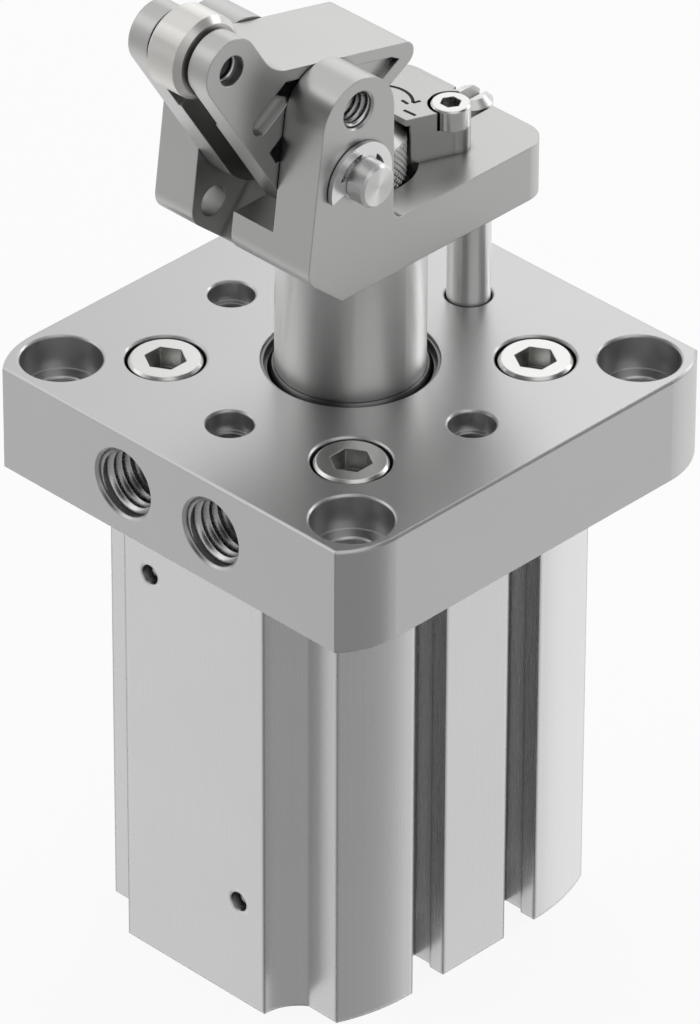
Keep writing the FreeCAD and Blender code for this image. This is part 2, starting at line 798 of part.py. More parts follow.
def piston():
    outer = S.bore_radius - S.piston_play
    depths = {"seal_high": S.seal_groove_depth, "band": S.band_thick,
              "magnet": S.magnet_thick, "seal_low": S.seal_groove_depth}
    outline = Outline(S.rod_stub, PISTON_BOTTOM).line(S.rod_stub, PISTON_TOP).line(outer, PISTON_TOP)
    for name, (bottom, top) in piston_levels().items():
        waist = S.bore_radius - S.piston_play - depths[name]
        outline.line(outer, top).line(waist, top).line(waist, bottom).line(outer, bottom)
    outline.line(outer, PISTON_BOTTOM)
    return turned("piston", outline)


def piston_ring(label, name, thick, play):
    bottom, top = piston_levels()[name]
    outer = S.bore_radius - play
    return ring(label, S.bore_radius - S.piston_play - thick, outer, bottom, top)


def piston_seals():
    """The two running seals share one node."""
    items = [piston_ring(name, name, S.seal_groove_depth, S.lip_gap) for name in ("seal_high", "seal_low")]
    return group("piston_seals", items)


def buffer(label, bottom, gap_above, gap_below):
    """Soft ring that takes up the end of a stroke."""
    inner = S.buffer_inner
    return ring(label, inner, inner + S.buffer_wall, bottom + gap_below,
                bottom + S.buffer_height - gap_above)


def piston_nut():
    body = new_body("piston_nut")
    corner = S.nut_flats / root(formula(3))
    half = corner / 2
    across = S.nut_flats / 2
    outline = Outline(corner, 0).line(half, across).line(-half, across).line(-corner, 0)
    outline.line(-half, -across).line(half, -across)
    sketch = new_sketch(body, "XY_Plane", [outline], [(0, 0, S.rod_stub)])
    pad(body, sketch, S.nut_height)
    return place(body, z=PISTON_BOTTOM - S.nut_height)


def yoke():
    """Forked head: two ears for the lever and an arm that is forked round the guide rod."""
    body = new_body("yoke")
    tilt_y = S.ear_round * cosine(S.ear_tilt)
    tilt_z = S.ear_round * sine(S.ear_tilt)
    ear_y = -S.ear_back - S.ear_round
    touch_y = ear_y - tilt_y
    touch_z = S.ear_center_z + tilt_z
    corner_y = touch_y - (touch_z - S.front_corner_z) * tangent(S.ear_tilt)
    arm_end, fork_y = S.guide_offset + S.arm_past_guide, S.guide_offset - S.arm_fork_inset
    side = Outline(-S.front_foot, 0).line(arm_end, 0).line(arm_end, S.arm_thick)
    side.line(-S.ear_back, S.arm_thick).line(-S.ear_back, S.ear_center_z)
    side.arc(touch_y, touch_z, ear_y, S.ear_center_z).line(corner_y, S.front_corner_z)
    pad(body, new_sketch(body, "YZ_Plane", [side]), S.head_half * 2, both=True)
    dress(body, "PartDesign::Fillet", edge_near(0, [(corner_y, S.front_corner_z)]), S.front_fillet)
    inner = edge_near(0, [(-S.ear_back, S.arm_thick)])
    dress(body, "PartDesign::Fillet", inner, S.ear_inner_round)
    corners = edge_near(2, [(S.head_half, arm_end), (-S.head_half, arm_end)])
    dress(body, "PartDesign::Fillet", corners, S.arm_corner)

    ear_top = S.ear_center_z + S.ear_round * 2
    ears = rectangle(-S.slot_half, S.slot_floor, S.slot_half, ear_top)
    pocket(body, new_sketch(body, "XZ_Plane", [ears]), LONG, both=True)
    slope = (S.relief_foot - S.relief_top) / (S.slot_floor - S.relief_foot_z)
    below = S.relief_foot_z + S.slot_half
    relief = Outline(-S.relief_top, S.slot_floor).line(-LONG, S.slot_floor).line(-LONG, -below)
    relief.line(-S.relief_foot - slope * (below + S.relief_foot_z), -below)
    pocket(body, new_sketch(body, "YZ_Plane", [relief]), S.slot_half)

    fork = Outline(S.arm_fork, arm_end * 2).line(-S.arm_fork, arm_end * 2)
    fork.line(-S.arm_fork, fork_y).arc(S.arm_fork, fork_y, 0, fork_y)
    pocket(body, new_sketch(body, "XY_Plane", [fork]), LONG, both=True)
    well = new_sketch(body, "XY_Plane", circles=[(0, 0, S.ring_well)], offset=S.slot_floor)
    pocket(body, well, S.slot_floor - S.well_floor)
    pocket(body, new_sketch(body, "XY_Plane", circles=[(0, 0, S.rod_spigot)]), LONG, both=True)

    cross = [(PIVOT_Y, S.pivot_z, S.pin_radius), (-S.ear_thread_y, S.ear_thread_z, S.ear_thread)]
    pocket(body, new_sketch(body, "YZ_Plane", circles=cross), LONG, both=True)
    for level in (S.head_half, -S.head_half):
        dress(body, "PartDesign::Chamfer", round_edge(S.ear_thread, 0, level), S.sink_edge)
    lock = [(-S.lock_hole_y, S.lock_hole_z, S.lock_hole)]
    sketch = new_sketch(body, "YZ_Plane", circles=lock, offset=-S.slot_half)
    pocket(body, sketch, S.head_half)
    screws = [(S.cover_screw_x * way, S.cover_screw_y, S.small_screw_shank) for way in (-1, 1)]
    sketch = new_sketch(body, "XY_Plane", circles=screws, offset=S.arm_thick)
    pocket(body, sketch, S.small_screw_hole)
    return place(body, z=HEAD_Z)


def lever_frame():
    """Side view of the lever from the pivot: the roller, the front line's way out and its length."""
    span = root(S.roller_back * S.roller_back + S.roller_up * S.roller_up)
    spread = (S.hub_radius - S.fork_round) / span
    close = root(1 - spread * spread)
    back, up = S.roller_back / span, S.roller_up / span
    out_y = -up * close - back * spread
    out_z = -back * close + up * spread
    return SimpleNamespace(roller=(-S.roller_back, S.roller_up), out=(out_y, out_z), span=span * close)


def lever():
    """Roller lever: a fork that holds the roller, a hub on the pivot pin and a wedge-shaped tail."""
    body = new_body("lever")
    frame = lever_frame()
    (ry, rz), (oy, oz) = frame.roller, frame.out
    front = (ry + oy * S.fork_round, rz + oz * S.fork_round)
    behind = (ry - oy * S.fork_round, rz - oz * S.fork_round)
    hub = (oy * S.hub_radius, oz * S.hub_radius)
    fall = tangent(S.tail_tilt)
    along = (S.tail_top - fall * behind[0] - behind[1]) / (oy - fall * oz)
    knee = (behind[0] - oz * along, behind[1] + oy * along)
    rise = tangent(S.tail_under_tilt)
    nose_y = (S.tail_top + S.tail_under) / (fall + rise)
    nose_z = S.tail_top - fall * nose_y
    cos_under, sin_under = cosine(S.tail_under_tilt), sine(S.tail_under_tilt)
    low = S.tail_under * cos_under
    reach = root(S.hub_radius * S.hub_radius - low * low)
    join = (low * sin_under + reach * cos_under, -low * cos_under + reach * sin_under)
    side = Outline(*front).arc(*behind, ry, rz, clockwise=True).line(*knee).line(nose_y, nose_z)
    side.line(*join).arc(*hub, 0, 0, clockwise=True)
    pad(body, new_sketch(body, "YZ_Plane", [side]), S.lever_half * 2, both=True)
    dress(body, "PartDesign::Fillet", edge_near(0, [knee]), S.tail_fillet)
    dress(body, "PartDesign::Fillet", edge_near(0, [(nose_y, nose_z)]), S.nose_round)

    def at(run, depth):
        """A point at a run along the front line from the hub and a depth behind it."""
        return (hub[0] + oz * run - oy * depth, hub[1] - oy * run - oz * depth)

    clear = -S.hub_radius
    low, high = -S.hub_radius * 2, frame.span
    for start, end, half in ((low, S.fork_step, S.fork_gap_low), (S.fork_step, high, S.fork_gap)):
        gap = Outline(*at(start - SHORT, clear)).line(*at(start - SHORT, S.fork_depth))
        gap.line(*at(end, S.fork_depth)).line(*at(end, clear))
        pocket(body, new_sketch(body, "YZ_Plane", [gap]), half * 2, both=True)
    room = new_sketch(body, "YZ_Plane", circles=[(ry, rz, S.roller_room)])
    pocket(body, room, S.fork_gap * 2, both=True)

    for outline, depth in zip(lever_pockets(), (S.pocket_depth, S.recess_depth, S.recess_depth)):
        for way in (-1, 1):
            sketch = new_sketch(body, "YZ_Plane", [outline], offset=S.lever_half * way)
            pocket(body, sketch, depth, reverse=way < 0)
    bores = [(0, 0, S.pin_radius + S.pin_play), (ry, rz, S.roller_pin)]
    pocket(body, new_sketch(body, "YZ_Plane", circles=bores), LONG, both=True)
    return place(body, ZERO, PIVOT_Y, PIVOT_Z)


def lever_pockets():
    """Recesses in both sides of the lever: a shallow one with a branch, and two deep ones."""
    fall, rise = tangent(S.tail_tilt), tangent(S.tail_under_tilt)
    along, across = (cosine(S.branch_tilt), sine(S.branch_tilt)), S.branch_half
    side = (-along[1] * across, along[0] * across)
    back_z = S.tail_top - S.pocket_top + fall * S.pocket_back
    crotch = (S.pocket_back - S.branch_y) * -1
    wall = (-S.branch_y - side[0], S.branch_z - side[1])
    inner = (wall[0] + crotch, wall[1] + crotch * tangent(S.branch_tilt))
    tip_z = S.tail_top - S.pocket_top - fall * S.pocket_tip
    foot_z = S.pocket_under - S.tail_under + rise * S.pocket_foot
    low_tip = (tip_z - foot_z) / rise + S.pocket_foot - S.recess_end
    main = Outline(-S.pocket_back, back_z).line(-S.branch_y + side[0], S.branch_z + side[1])
    main.arc(*wall, -S.branch_y, S.branch_z).line(*inner).line(S.pocket_foot, foot_z)
    main.line(low_tip, foot_z + rise * (low_tip - S.pocket_foot)).line(S.pocket_tip, tip_z)
    deep_y = S.recess_end - S.pocket_back - S.branch_half
    deep = Outline(-S.pocket_back, back_z).line(deep_y - S.recess_end, back_z - S.recess_end)
    deep.line(*inner).line(ZERO, inner[1]).line(ZERO, S.tail_top - S.pocket_top)
    hub = Outline(-S.hub_recess_out, S.hub_recess_out_z).line(-S.hub_recess_in, S.hub_recess_top)
    hub.line(-S.hub_recess_in, S.hub_recess_low).line(-S.hub_recess_low_out, S.hub_recess_low)
    return main, deep, hub


def along_x(item, y, z):
    """Lay a piece that is modelled about Z along X."""
    return place(item, ZERO, y, z, FreeCAD.Vector(0, 1, 0), 90.0)


def pin(label, half, radius, edge, grooves=()):
    """A round pin about X with chamfered ends, and a clip groove at each level of half its length."""
    outline = Outline(0, -half).line(radius - edge, -half).line(radius, edge - half)
    for low, high, depth_radius in grooves:
        outline.line(radius, low).line(depth_radius, low).line(depth_radius, high).line(radius, high)
    outline.line(radius, half - edge).line(radius - edge, half).line(0, half)
    return turned(label, outline)


def pivot_pin():
    low = S.head_half + S.face_gap / 2
    high = low + S.clip_thick + S.face_gap
    grooves = [(-high, -low, S.clip_groove), (low, high, S.clip_groove)]
    return along_x(pin("pivot_pin", S.pin_half, S.pin_radius, S.pin_edge, grooves), PIVOT_Y, PIVOT_Z)


def clip(x):
    """A flat spring clip across X: three prongs reach the pin's groove and the mouth is below."""
    body = new_body("clip")
    toward, aside = cosine(S.clip_tilt), sine(S.clip_tilt)

    def at(left, up):
        """A point seen from the pin's axis, with up towards the middle prong."""
        return (toward * up - aside * left, aside * up + toward * left)

    center = at(ZERO, -S.clip_shift)
    pad(body, new_sketch(body, "YZ_Plane", circles=[(*center, S.clip_radius)]), S.clip_thick)
    tip, room, half = S.clip_groove + S.face_gap / 2, S.clip_room, S.clip_prong
    far = S.clip_radius * 2
    foot_left, foot_up = sine(S.clip_foot_tilt), cosine(S.clip_foot_tilt)
    tip_up = root(tip * tip - half * half)
    room_up = root(room * room - half * half) - S.clip_shift
    mouth = Outline(*at(foot_left * far, foot_up * far)).line(*at(-foot_left * far, foot_up * far))
    mouth.line(*at(-foot_left * tip, foot_up * tip)).arc(*at(-tip, ZERO), 0, 0)
    mouth.line(*at(-room, -S.clip_shift)).arc(*at(-half, room_up), *center)
    mouth.line(*at(-half, tip_up)).arc(*at(half, tip_up), 0, 0)
    mouth.line(*at(half, room_up)).arc(*at(room, -S.clip_shift), *center)
    mouth.line(*at(tip, ZERO)).arc(*at(foot_left * tip, foot_up * tip), 0, 0)
    pocket(body, new_sketch(body, "YZ_Plane", [mouth]), S.clip_thick, reverse=True)
    return place(body, x, PIVOT_Y, PIVOT_Z)


def pivot_clips():
    near = S.head_half + S.face_gap
    return group("pivot_clips", [clip(near), clip(-near - S.clip_thick)])


def roller_pin():
    half = S.lever_half - S.roller_pin_sink
    return along_x(pin("roller_pin", half, S.roller_pin, S.pin_edge),
                   ROLLER_Y, ROLLER_Z)


def roller_bush():
    inner = S.roller_pin + S.pin_play
    body = ring("roller_bush", inner, S.roller_radius - S.roller_wall, -S.roller_half, S.roller_half)
    return along_x(body, ROLLER_Y, ROLLER_Z)


def roller():
    """Steel roller with a chamfer at both rims."""
    r, half, edge = S.roller_radius, S.roller_half, S.roller_edge
    inner = r - S.roller_wall
    outline = Outline(inner, -half).line(r - edge, -half).line(r, edge - half).line(r, half - edge)
    outline.line(r - edge, half).line(inner, half)
    return along_x(turned("roller", outline), ROLLER_Y, ROLLER_Z)


def absorber_body():
    """Shock absorber's tube in the rod, with the neck that the adjusting ring turns on."""
    floor = PISTON_TOP + S.rod_floor
    outer = S.rod_bore - S.absorber_play
    bore = outer - S.absorber_wall
    neck_top = RING_TOP - S.neck_drop
    shoulder = RING_BOTTOM - S.knurl_play
    guide = neck_top - S.plunger_guide
    rod_hole = S.plunger_radius + S.plunger_play
    outline = Outline(0, floor).line(outer, floor).line(outer, shoulder).line(S.absorber_neck, shoulder)
    outline.line(S.absorber_neck, neck_top).line(rod_hole, neck_top).line(rod_hole, guide)
    outline.line(bore, guide - bore + rod_hole).line(bore, floor + S.absorber_wall)
    outline.line(0, floor + S.absorber_wall)
    return turned("absorber_body", outline)


def plunger_top():
    """Top of the plunger's round end, just under the lever's tail."""
    contact = -PIVOT_Y * tangent(S.tail_under_tilt) - S.tail_under
    lean = cosine(S.tail_under_tilt)
    return PIVOT_Z + contact - (S.plunger_radius + S.plunger_gap) / lean + S.plunger_radius


def plunger_head_top():
    guide = RING_TOP - S.neck_drop - S.plunger_guide
    return guide - S.plunger_head - S.plunger_gap


def absorber_plunger():
    """Plunger rod with a round end above and a damping piston below."""
    top = plunger_top()
    r = S.plunger_radius
    head_top = plunger_head_top()
    head_bottom = head_top - S.plunger_head_height
    outline = Outline(r, top - r).arc(0, top, 0, top - r).line(0, head_bottom)
    outline.line(S.plunger_head, head_bottom).line(S.plunger_head, head_top).line(r, head_top)
    return turned("absorber_plunger", outline)


def absorber_spring():
    """Coil spring under the damping piston, made as a swept wire."""
    floor = (PISTON_TOP + S.rod_floor + S.absorber_wall).value
    wire = S.absorber_spring_wire.value
    top = (plunger_head_top() - S.plunger_head_height).value
    height = top - floor - wire - 2 * S.plunger_gap.value
    radius = S.absorber_spring_radius.value
    helix = Part.makeHelix(height / S.absorber_spring_turns.value, height, radius)
    section = Part.Circle(FreeCAD.Vector(radius, 0, 0), FreeCAD.Vector(0, 1, 0), wire / 2)
    start = Part.Wire(section.toShape())
    spring = DOC.addObject("Part::Feature", "absorber_spring")
    spring.Label = "absorber_spring"
    spring.Shape = Part.Wire(helix).makePipeShell([start], True, True)
    spring.Placement = FreeCAD.Placement(
        FreeCAD.Vector(0, 0, floor + wire / 2 + S.plunger_gap.value), FreeCAD.Rotation())
    return spring


def adjusting_ring():
    """Round adjusting ring that turns on the absorber's neck."""
    inner = S.absorber_neck + S.knurl_play
    r, edge = S.knurl_radius, S.knurl_edge
    top = RING_TOP - S.face_gap
    outline = Outline(inner, RING_BOTTOM).line(r - S.knurl_foot_edge, RING_BOTTOM)
    outline.line(r, RING_BOTTOM + S.knurl_foot_edge).line(r, top - edge).line(r - edge, top)
    outline.line(inner, top)
    return turned("adjusting_ring", outline)


def ring_cover():
    """Cover that keeps the ring down: flared sides, a front lip and a seat for each screw."""
    body = new_body("ring_cover")
    lean = tangent(S.cover_side_tilt)
    back_half = S.cover_front_half + (S.cover_back - S.cover_front) * lean
    body_front = S.cover_front + S.cover_lip_out
    body_half = S.cover_front_half + S.cover_lip_out * lean
    block = Outline(-body_half, body_front).line(body_half, body_front)
    block.line(back_half, S.cover_back).line(-back_half, S.cover_back)
    lip_bottom = S.cover_height - S.cover_lip
    pad(body, new_sketch(body, "XY_Plane", [block]), lip_bottom)
    room = S.knurl_radius + S.cover_ring_room
    pocket(body, new_sketch(body, "XY_Plane", circles=[(0, 0, room)]), lip_bottom, reverse=True)
    lid = Outline(-S.cover_front_half, S.cover_front).line(S.cover_front_half, S.cover_front)
    lid.line(back_half, S.cover_back).line(-back_half, S.cover_back)
    pad(body, new_sketch(body, "XY_Plane", [lid], offset=lip_bottom), S.cover_lip)
    corners = edge_near(2, [(back_half, S.cover_back), (-back_half, S.cover_back)])
    dress(body, "PartDesign::Fillet", corners, S.cover_corner)
    for way in (-1, 1):
        dx, dy = cosine(S.cover_notch_tilt) * way, sine(S.cover_notch_tilt)
        x, y = S.cover_screw_x * way, S.cover_screw_y
        nx, ny = -dy * S.cover_notch, dx * S.cover_notch
        reach = S.cover_notch_reach
        seat = Outline(x + nx + dx * reach, y + ny + dy * reach).line(x + nx, y + ny)
        seat.arc(x - nx, y - ny, x, y).line(x - nx + dx * reach, y - ny + dy * reach)
        sketch = new_sketch(body, "XY_Plane", [seat], offset=S.cover_height)
        pocket(body, sketch, S.cover_height - S.cover_seat)
    holes = [(S.cover_screw_x * way, S.cover_screw_y, S.small_screw_shank) for way in (-1, 1)]
    pocket(body, new_sketch(body, "XY_Plane", circles=holes), LONG, both=True)
    return place(body, z=ARM_TOP)


def cover_screws():
    items = []
    for way in (-1, 1):
        screw = cap_screw(S.small_screw_head, S.small_screw_head_height, S.small_screw_edge,
                          S.small_screw_shank, S.cover_seat + S.small_screw_reach, S.small_screw_hex)
        items.append(place(screw, S.cover_screw_x * way, S.cover_screw_y,
                           ARM_TOP + S.cover_seat + S.small_screw_head_height))
    return group("cover_screws", items)


def build():
    cord_plate = BARREL_TOP - S.cord_from_plate - S.cord_section
    cord_cap = CAP_BOTTOM + S.cap_height / 2 - S.cord_section / 2
    return [
        barrel(), flange_plate(), barrel_screws(), guide_rod(), rod_wiper(), rod_seal(), rod_bush(),
        cord_ring("plate_cord", cord_plate), channel_plugs(), base_cap(),
        cord_ring("cap_cord", cord_cap), base_ring(), piston_rod(), piston(), piston_seals(),
        piston_ring("guide_band", "band", S.band_thick, S.bush_play),
        piston_ring("magnet_ring", "magnet", S.magnet_thick, S.magnet_play),
        buffer("upper_buffer", PISTON_TOP, S.bush_play, ZERO),
        buffer("lower_buffer", PISTON_BOTTOM - S.buffer_height, ZERO, S.bush_play),
        piston_nut(), yoke(), lever(), pivot_pin(), pivot_clips(), roller_pin(), roller_bush(),
        roller(), absorber_body(), absorber_plunger(), absorber_spring(), adjusting_ring(),
        ring_cover(), cover_screws(),
    ]


def check_and_write(parts):
    """Stop at any failed object, then write one file for each sub-part."""
    DOC.recompute()
    for item in DOC.Objects:
        if "Invalid" in item.State or "Error" in item.State:
            raise RuntimeError(f"{item.Label} failed: {item.State}")
    for item in parts:
        if item.Shape.isNull() or not item.Shape.isValid():
            raise RuntimeError(f"{item.Label} has no valid shape")
    os.makedirs("parts", exist_ok=True)
    for item in parts:
        item.Shape.exportStep(f"parts/{item.Label}.step")
        print(item.Label, len(item.Shape.Solids), round(item.Shape.Volume, 1))


check_and_write(build())
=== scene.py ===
"""Dresses the stopper cylinder: finishes, threads, snap rings, knurl, marks and stage."""
import json
import math

import bmesh
import bpy
from bpy.props import FloatProperty, FloatVectorProperty, IntProperty, PointerProperty
from mathutils import Matrix, Vector


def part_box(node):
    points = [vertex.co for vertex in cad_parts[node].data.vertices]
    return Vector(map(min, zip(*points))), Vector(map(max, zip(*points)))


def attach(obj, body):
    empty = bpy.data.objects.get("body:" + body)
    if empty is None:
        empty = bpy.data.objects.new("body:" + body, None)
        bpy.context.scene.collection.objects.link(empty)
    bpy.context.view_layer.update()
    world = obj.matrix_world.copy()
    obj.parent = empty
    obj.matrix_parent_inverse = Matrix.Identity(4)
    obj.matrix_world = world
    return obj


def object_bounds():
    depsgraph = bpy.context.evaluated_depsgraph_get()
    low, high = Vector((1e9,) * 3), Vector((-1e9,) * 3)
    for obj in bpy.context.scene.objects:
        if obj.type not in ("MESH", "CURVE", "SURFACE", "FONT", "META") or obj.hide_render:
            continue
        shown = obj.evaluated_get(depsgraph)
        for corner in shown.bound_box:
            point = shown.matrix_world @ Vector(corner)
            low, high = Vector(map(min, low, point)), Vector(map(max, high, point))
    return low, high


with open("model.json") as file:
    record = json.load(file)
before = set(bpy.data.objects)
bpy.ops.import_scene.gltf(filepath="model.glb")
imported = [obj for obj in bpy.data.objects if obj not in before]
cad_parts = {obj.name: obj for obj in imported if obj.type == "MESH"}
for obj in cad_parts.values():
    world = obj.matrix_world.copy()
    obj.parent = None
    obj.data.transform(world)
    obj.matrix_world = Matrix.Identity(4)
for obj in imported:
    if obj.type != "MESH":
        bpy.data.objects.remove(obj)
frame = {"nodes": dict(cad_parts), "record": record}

bl_info = {
    "name": "Stopper Cylinder Dressing",
    "version": (1, 0, 0),
    "blender": (4, 5, 0),
    "location": "View3D > Sidebar > Stopper Cylinder",
    "description": "Finishes, threads, knurling and stage for a stopper cylinder",
    "category": "Object",
}

MM = 0.001
CAD_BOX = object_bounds()
COVER_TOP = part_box("ring_cover")[1].z
RING_LOW, RING_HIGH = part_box("adjusting_ring")

# A thread starts just below the chamfer of its hole. Its ridge rises from just outside the wall,
# its valley's floor lies just inside it, and points pressed against the chamfer stay a hair apart.
THREAD_START = 0.38 * MM
THREAD_ROOT = 0.03 * MM
THREAD_FLOOR = 0.06 * MM
THREAD_APART = 0.002 * MM
# The part of a turn over which the ridge rises, at each end
THREAD_RISE = 0.3
# Across one turn: share of the thread's height, and place in pitches from the crest
THREAD_PROFILE = ((0.0, -0.5), (0.0, -0.3), (0.8, -0.1), (1.0, 0.0), (0.8, 0.1), (0.0, 0.3),
                  (0.0, 0.5))

# Direction of a snap ring's gap, seen along X from -Y
RING_GAP_SIDE = math.radians(235.0)
# How far the wire's middle stands inside the bore's wall, in radii of the wire
RING_INSIDE = 0.4
RING_STEPS, WIRE_SIDES = 48, 8

# Points across one diamond, the steepness of the grooves' sides, the share of their depth that
# stands over the plain ring, and how far the knurl's ends stand clear of it
KNURL_POINTS = 12
GROOVE_SLOPE = 2.2
KNURL_PROUD = 0.75
KNURL_CLEAR = 0.005 * MM

# The arrow and the minus sign, in millimetres along the object's X and Y. The arrow's two barbs are
# measured from its tip.
ARC_MIDDLE = (0.29, 5.22)
ARC_START, ARC_END = math.radians(128.0), math.radians(41.7)
ARC_STEPS = 24
BARBS = (((0.0, 0.0), (0.37, 1.03)), ((-0.24, -0.66), (-1.47, -0.56)))
MINUS = ((3.75, 5.8), (5.77, 5.93))

# The studio's light. Low down it goes from behind the object (0) round to the dark screen (1).
# High up it goes evenly from the first value to the second, but for two dark flags: azimuth and
# elevation in degrees, where each fades in and is full as a cosine, and how much light it takes.
SCREEN_SIDE = (0.7026, -0.7116, 0.0)
LOW_LIGHT = ((0.0, 0.93), (0.22, 0.95), (0.4, 0.98), (0.5, 0.76), (0.6, 0.44), (0.7, 0.34),
             (1.0, 0.34))
HIGH_LIGHT = (0.8, 0.72)
FLAGS = ((-80.0, 32.0, 0.8, 0.96, 0.97), (33.0, 32.0, 0.88, 0.98, 0.95))
# Heights on the sky's unit sphere where low light gives way to high, and where the overhead light
# comes in, with its strength over the rest
HORIZON = (-0.15, 0.35)
OVERHEAD = (0.62, 0.85, 1.2)

# Each lamp's name, place in metres, width, height and power in watts
LAMPS = (("left", (-1.0, -0.6, 0.9), 0.8, 0.8, 0.8),
         ("back", (-0.224, 0.341, 0.33), 0.22, 0.42, 0.1),
         ("right", (0.22, 1.1, 0.72), 0.35, 0.6, 1.7))
LAMP_TARGET = Vector((0.0, 0.0, 0.07))

# The share of the floor that is plain white to the camera. The rest of it takes the shadow.
FLOOR_GLOW = 0.9
FLOOR_GAP = 0.2 * MM
FLOOR_SIDES = 96

SENSOR_WIDTH = 36.0
CLIP_START, CLIP_END = 0.01, 50.0


def mount(name):
    """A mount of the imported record: its middle, its outward axis and its sizes in metres."""
    for entry in frame["record"]["mounts"]:
        if entry["name"] == name:
            sizes = {key: value * MM for key, value in entry["dims"].items()
                     if key.endswith("_mm")}
            return Vector(entry["pos_m"]), Vector(entry["axis"]), sizes
    raise RuntimeError(f"the record has no mount called {name}")


# Sizes and colours that a user would change


class ThreadSettings(bpy.types.PropertyGroup):
    """Pitches and depths of the internal threads."""
    # The ports' real spacing is 0.907 mm and the screw holes' is 0.8 mm. Both are drawn coarser,
    # so that the turns show as separate ridges.
    port_pitch: FloatProperty(
        name="Port pitch", description="Thread spacing in the air ports",
        default=1.5 * MM, unit="LENGTH")
    port_depth: FloatProperty(
        name="Port thread depth", description="Height of the ports' threads",
        default=0.75 * MM, unit="LENGTH")
    screw_pitch: FloatProperty(
        name="Screw pitch", description="Thread spacing in the screw holes",
        default=0.95 * MM, unit="LENGTH")
    screw_depth: FloatProperty(
        name="Screw thread depth", description="Height of the screw holes' threads",
        default=0.45 * MM, unit="LENGTH")
    steps: IntProperty(name="Steps", description="Flats in one turn of a thread", default=40)


class KnurlSettings(bpy.types.PropertyGroup):
    """Diamonds round the adjusting ring."""
    count: IntProperty(name="Diamonds", description="Diamonds round the ring", default=46)
    depth: FloatProperty(
        name="Knurl depth", description="Height of a diamond",
        default=0.28 * MM, unit="LENGTH")
    top_edge: FloatProperty(
        name="Top edge", description="Plain chamfer above the knurl",
        default=1.6 * MM, unit="LENGTH")
    foot_edge: FloatProperty(
        name="Foot edge", description="Plain chamfer below the knurl",
        default=0.6 * MM, unit="LENGTH")


class RingSettings(bpy.types.PropertyGroup):
    """Wire rings that hold the roller's pin."""
    wire: FloatProperty(
        name="Wire", description="Radius of the ring's wire",
        default=0.28 * MM, unit="LENGTH")
    gap: FloatProperty(
        name="Gap", description="Open part of a ring",
        default=math.radians(28.0), subtype="ANGLE")


class MarkSettings(bpy.types.PropertyGroup):
    """Engraved direction marks on the cover."""
    width: FloatProperty(
        name="Mark width", description="Width of an engraved line",
        default=0.45 * MM, unit="LENGTH")
    arc_radius: FloatProperty(
        name="Arc radius", description="Radius of the arrow's arc",
        default=4.07 * MM, unit="LENGTH")
    lift: FloatProperty(
        name="Lift", description="How far the mark's face stands over the cover",
        default=0.015 * MM, unit="LENGTH")


class StageSettings(bpy.types.PropertyGroup):
    """Camera and floor."""
    azimuth: FloatProperty(
        name="Azimuth", description="Camera's turn round the object",
        default=math.radians(44.631), subtype="ANGLE")
    elevation: FloatProperty(
        name="Elevation", description="Camera's height angle",
        default=math.radians(33.778), subtype="ANGLE")
    roll: FloatProperty(
        name="Roll", description="Camera's turn about its own line of sight",
        default=math.radians(0.198), subtype="ANGLE")
    distance: FloatProperty(
        name="Distance", description="Camera's distance from its target",
        default=1.2666, unit="LENGTH")
    target_height: FloatProperty(
        name="Target height", description="Height that the camera looks at",
        default=0.06066, unit="LENGTH")
    lens: FloatProperty(name="Lens", description="Focal length in millimetres", default=336.61)
    floor_radius: FloatProperty(
        name="Floor radius", description="Reach of the floor", default=6.0, unit="LENGTH")
    floor_colour: FloatVectorProperty(
        name="Floor colour", description="Colour of the floor",
        default=(0.86, 0.86, 0.86), subtype="COLOR", size=3)


# Materials


def linear(code):
    """Turn an sRGB hex colour into linear values."""
    parts = [int(code[i:i + 2], 16) / 255 for i in (1, 3, 5)]
    return tuple(c / 12.92 if c <= 0.04045 else ((c + 0.055) / 1.055) ** 2.4
                 for c in parts) + (1.0,)


def add(tree, kind, links=None, **settings):
    """Add a node, set its attributes and its sockets, and join the sockets named in links."""
    node = tree.nodes.new(kind)
    for name, value in settings.items():
        if hasattr(node, name):
            setattr(node, name, value)
        else:
            node.inputs[name.replace("_", " ")].default_value = value
    for name, source in (links or {}).items():
        tree.links.new(source, node.inputs[name])
    return node


def new_material(name):
    material = bpy.data.materials.new(name)
    material.use_nodes = True
    material.node_tree.nodes.clear()
    return material, material.node_tree


def close(material, shader):
    add(material.node_tree, "ShaderNodeOutputMaterial", {"Surface": shader})
    return material


def darker_in_recesses(tree, colour, shade, reach_mm, closed_at, alone):
    """The colour with painted shade where the surface is closed in: alone, by its own piece only.
    """
    closed = add(tree, "ShaderNodeAmbientOcclusion", samples=4, only_local=alone,
                 Distance=reach_mm * MM)
    share = add(tree, "ShaderNodeMapRange", {"Value": closed.outputs["AO"]},
                From_Min=closed_at[0], From_Max=closed_at[1])
    # Painted shade: the shade colour comes in as the ambient occlusion closes in.
    shaded = add(tree, "ShaderNodeMix", {"Factor": share.outputs["Result"], "B": colour},
                  data_type="RGBA", A=linear(shade))
    return shaded.outputs["Result"]


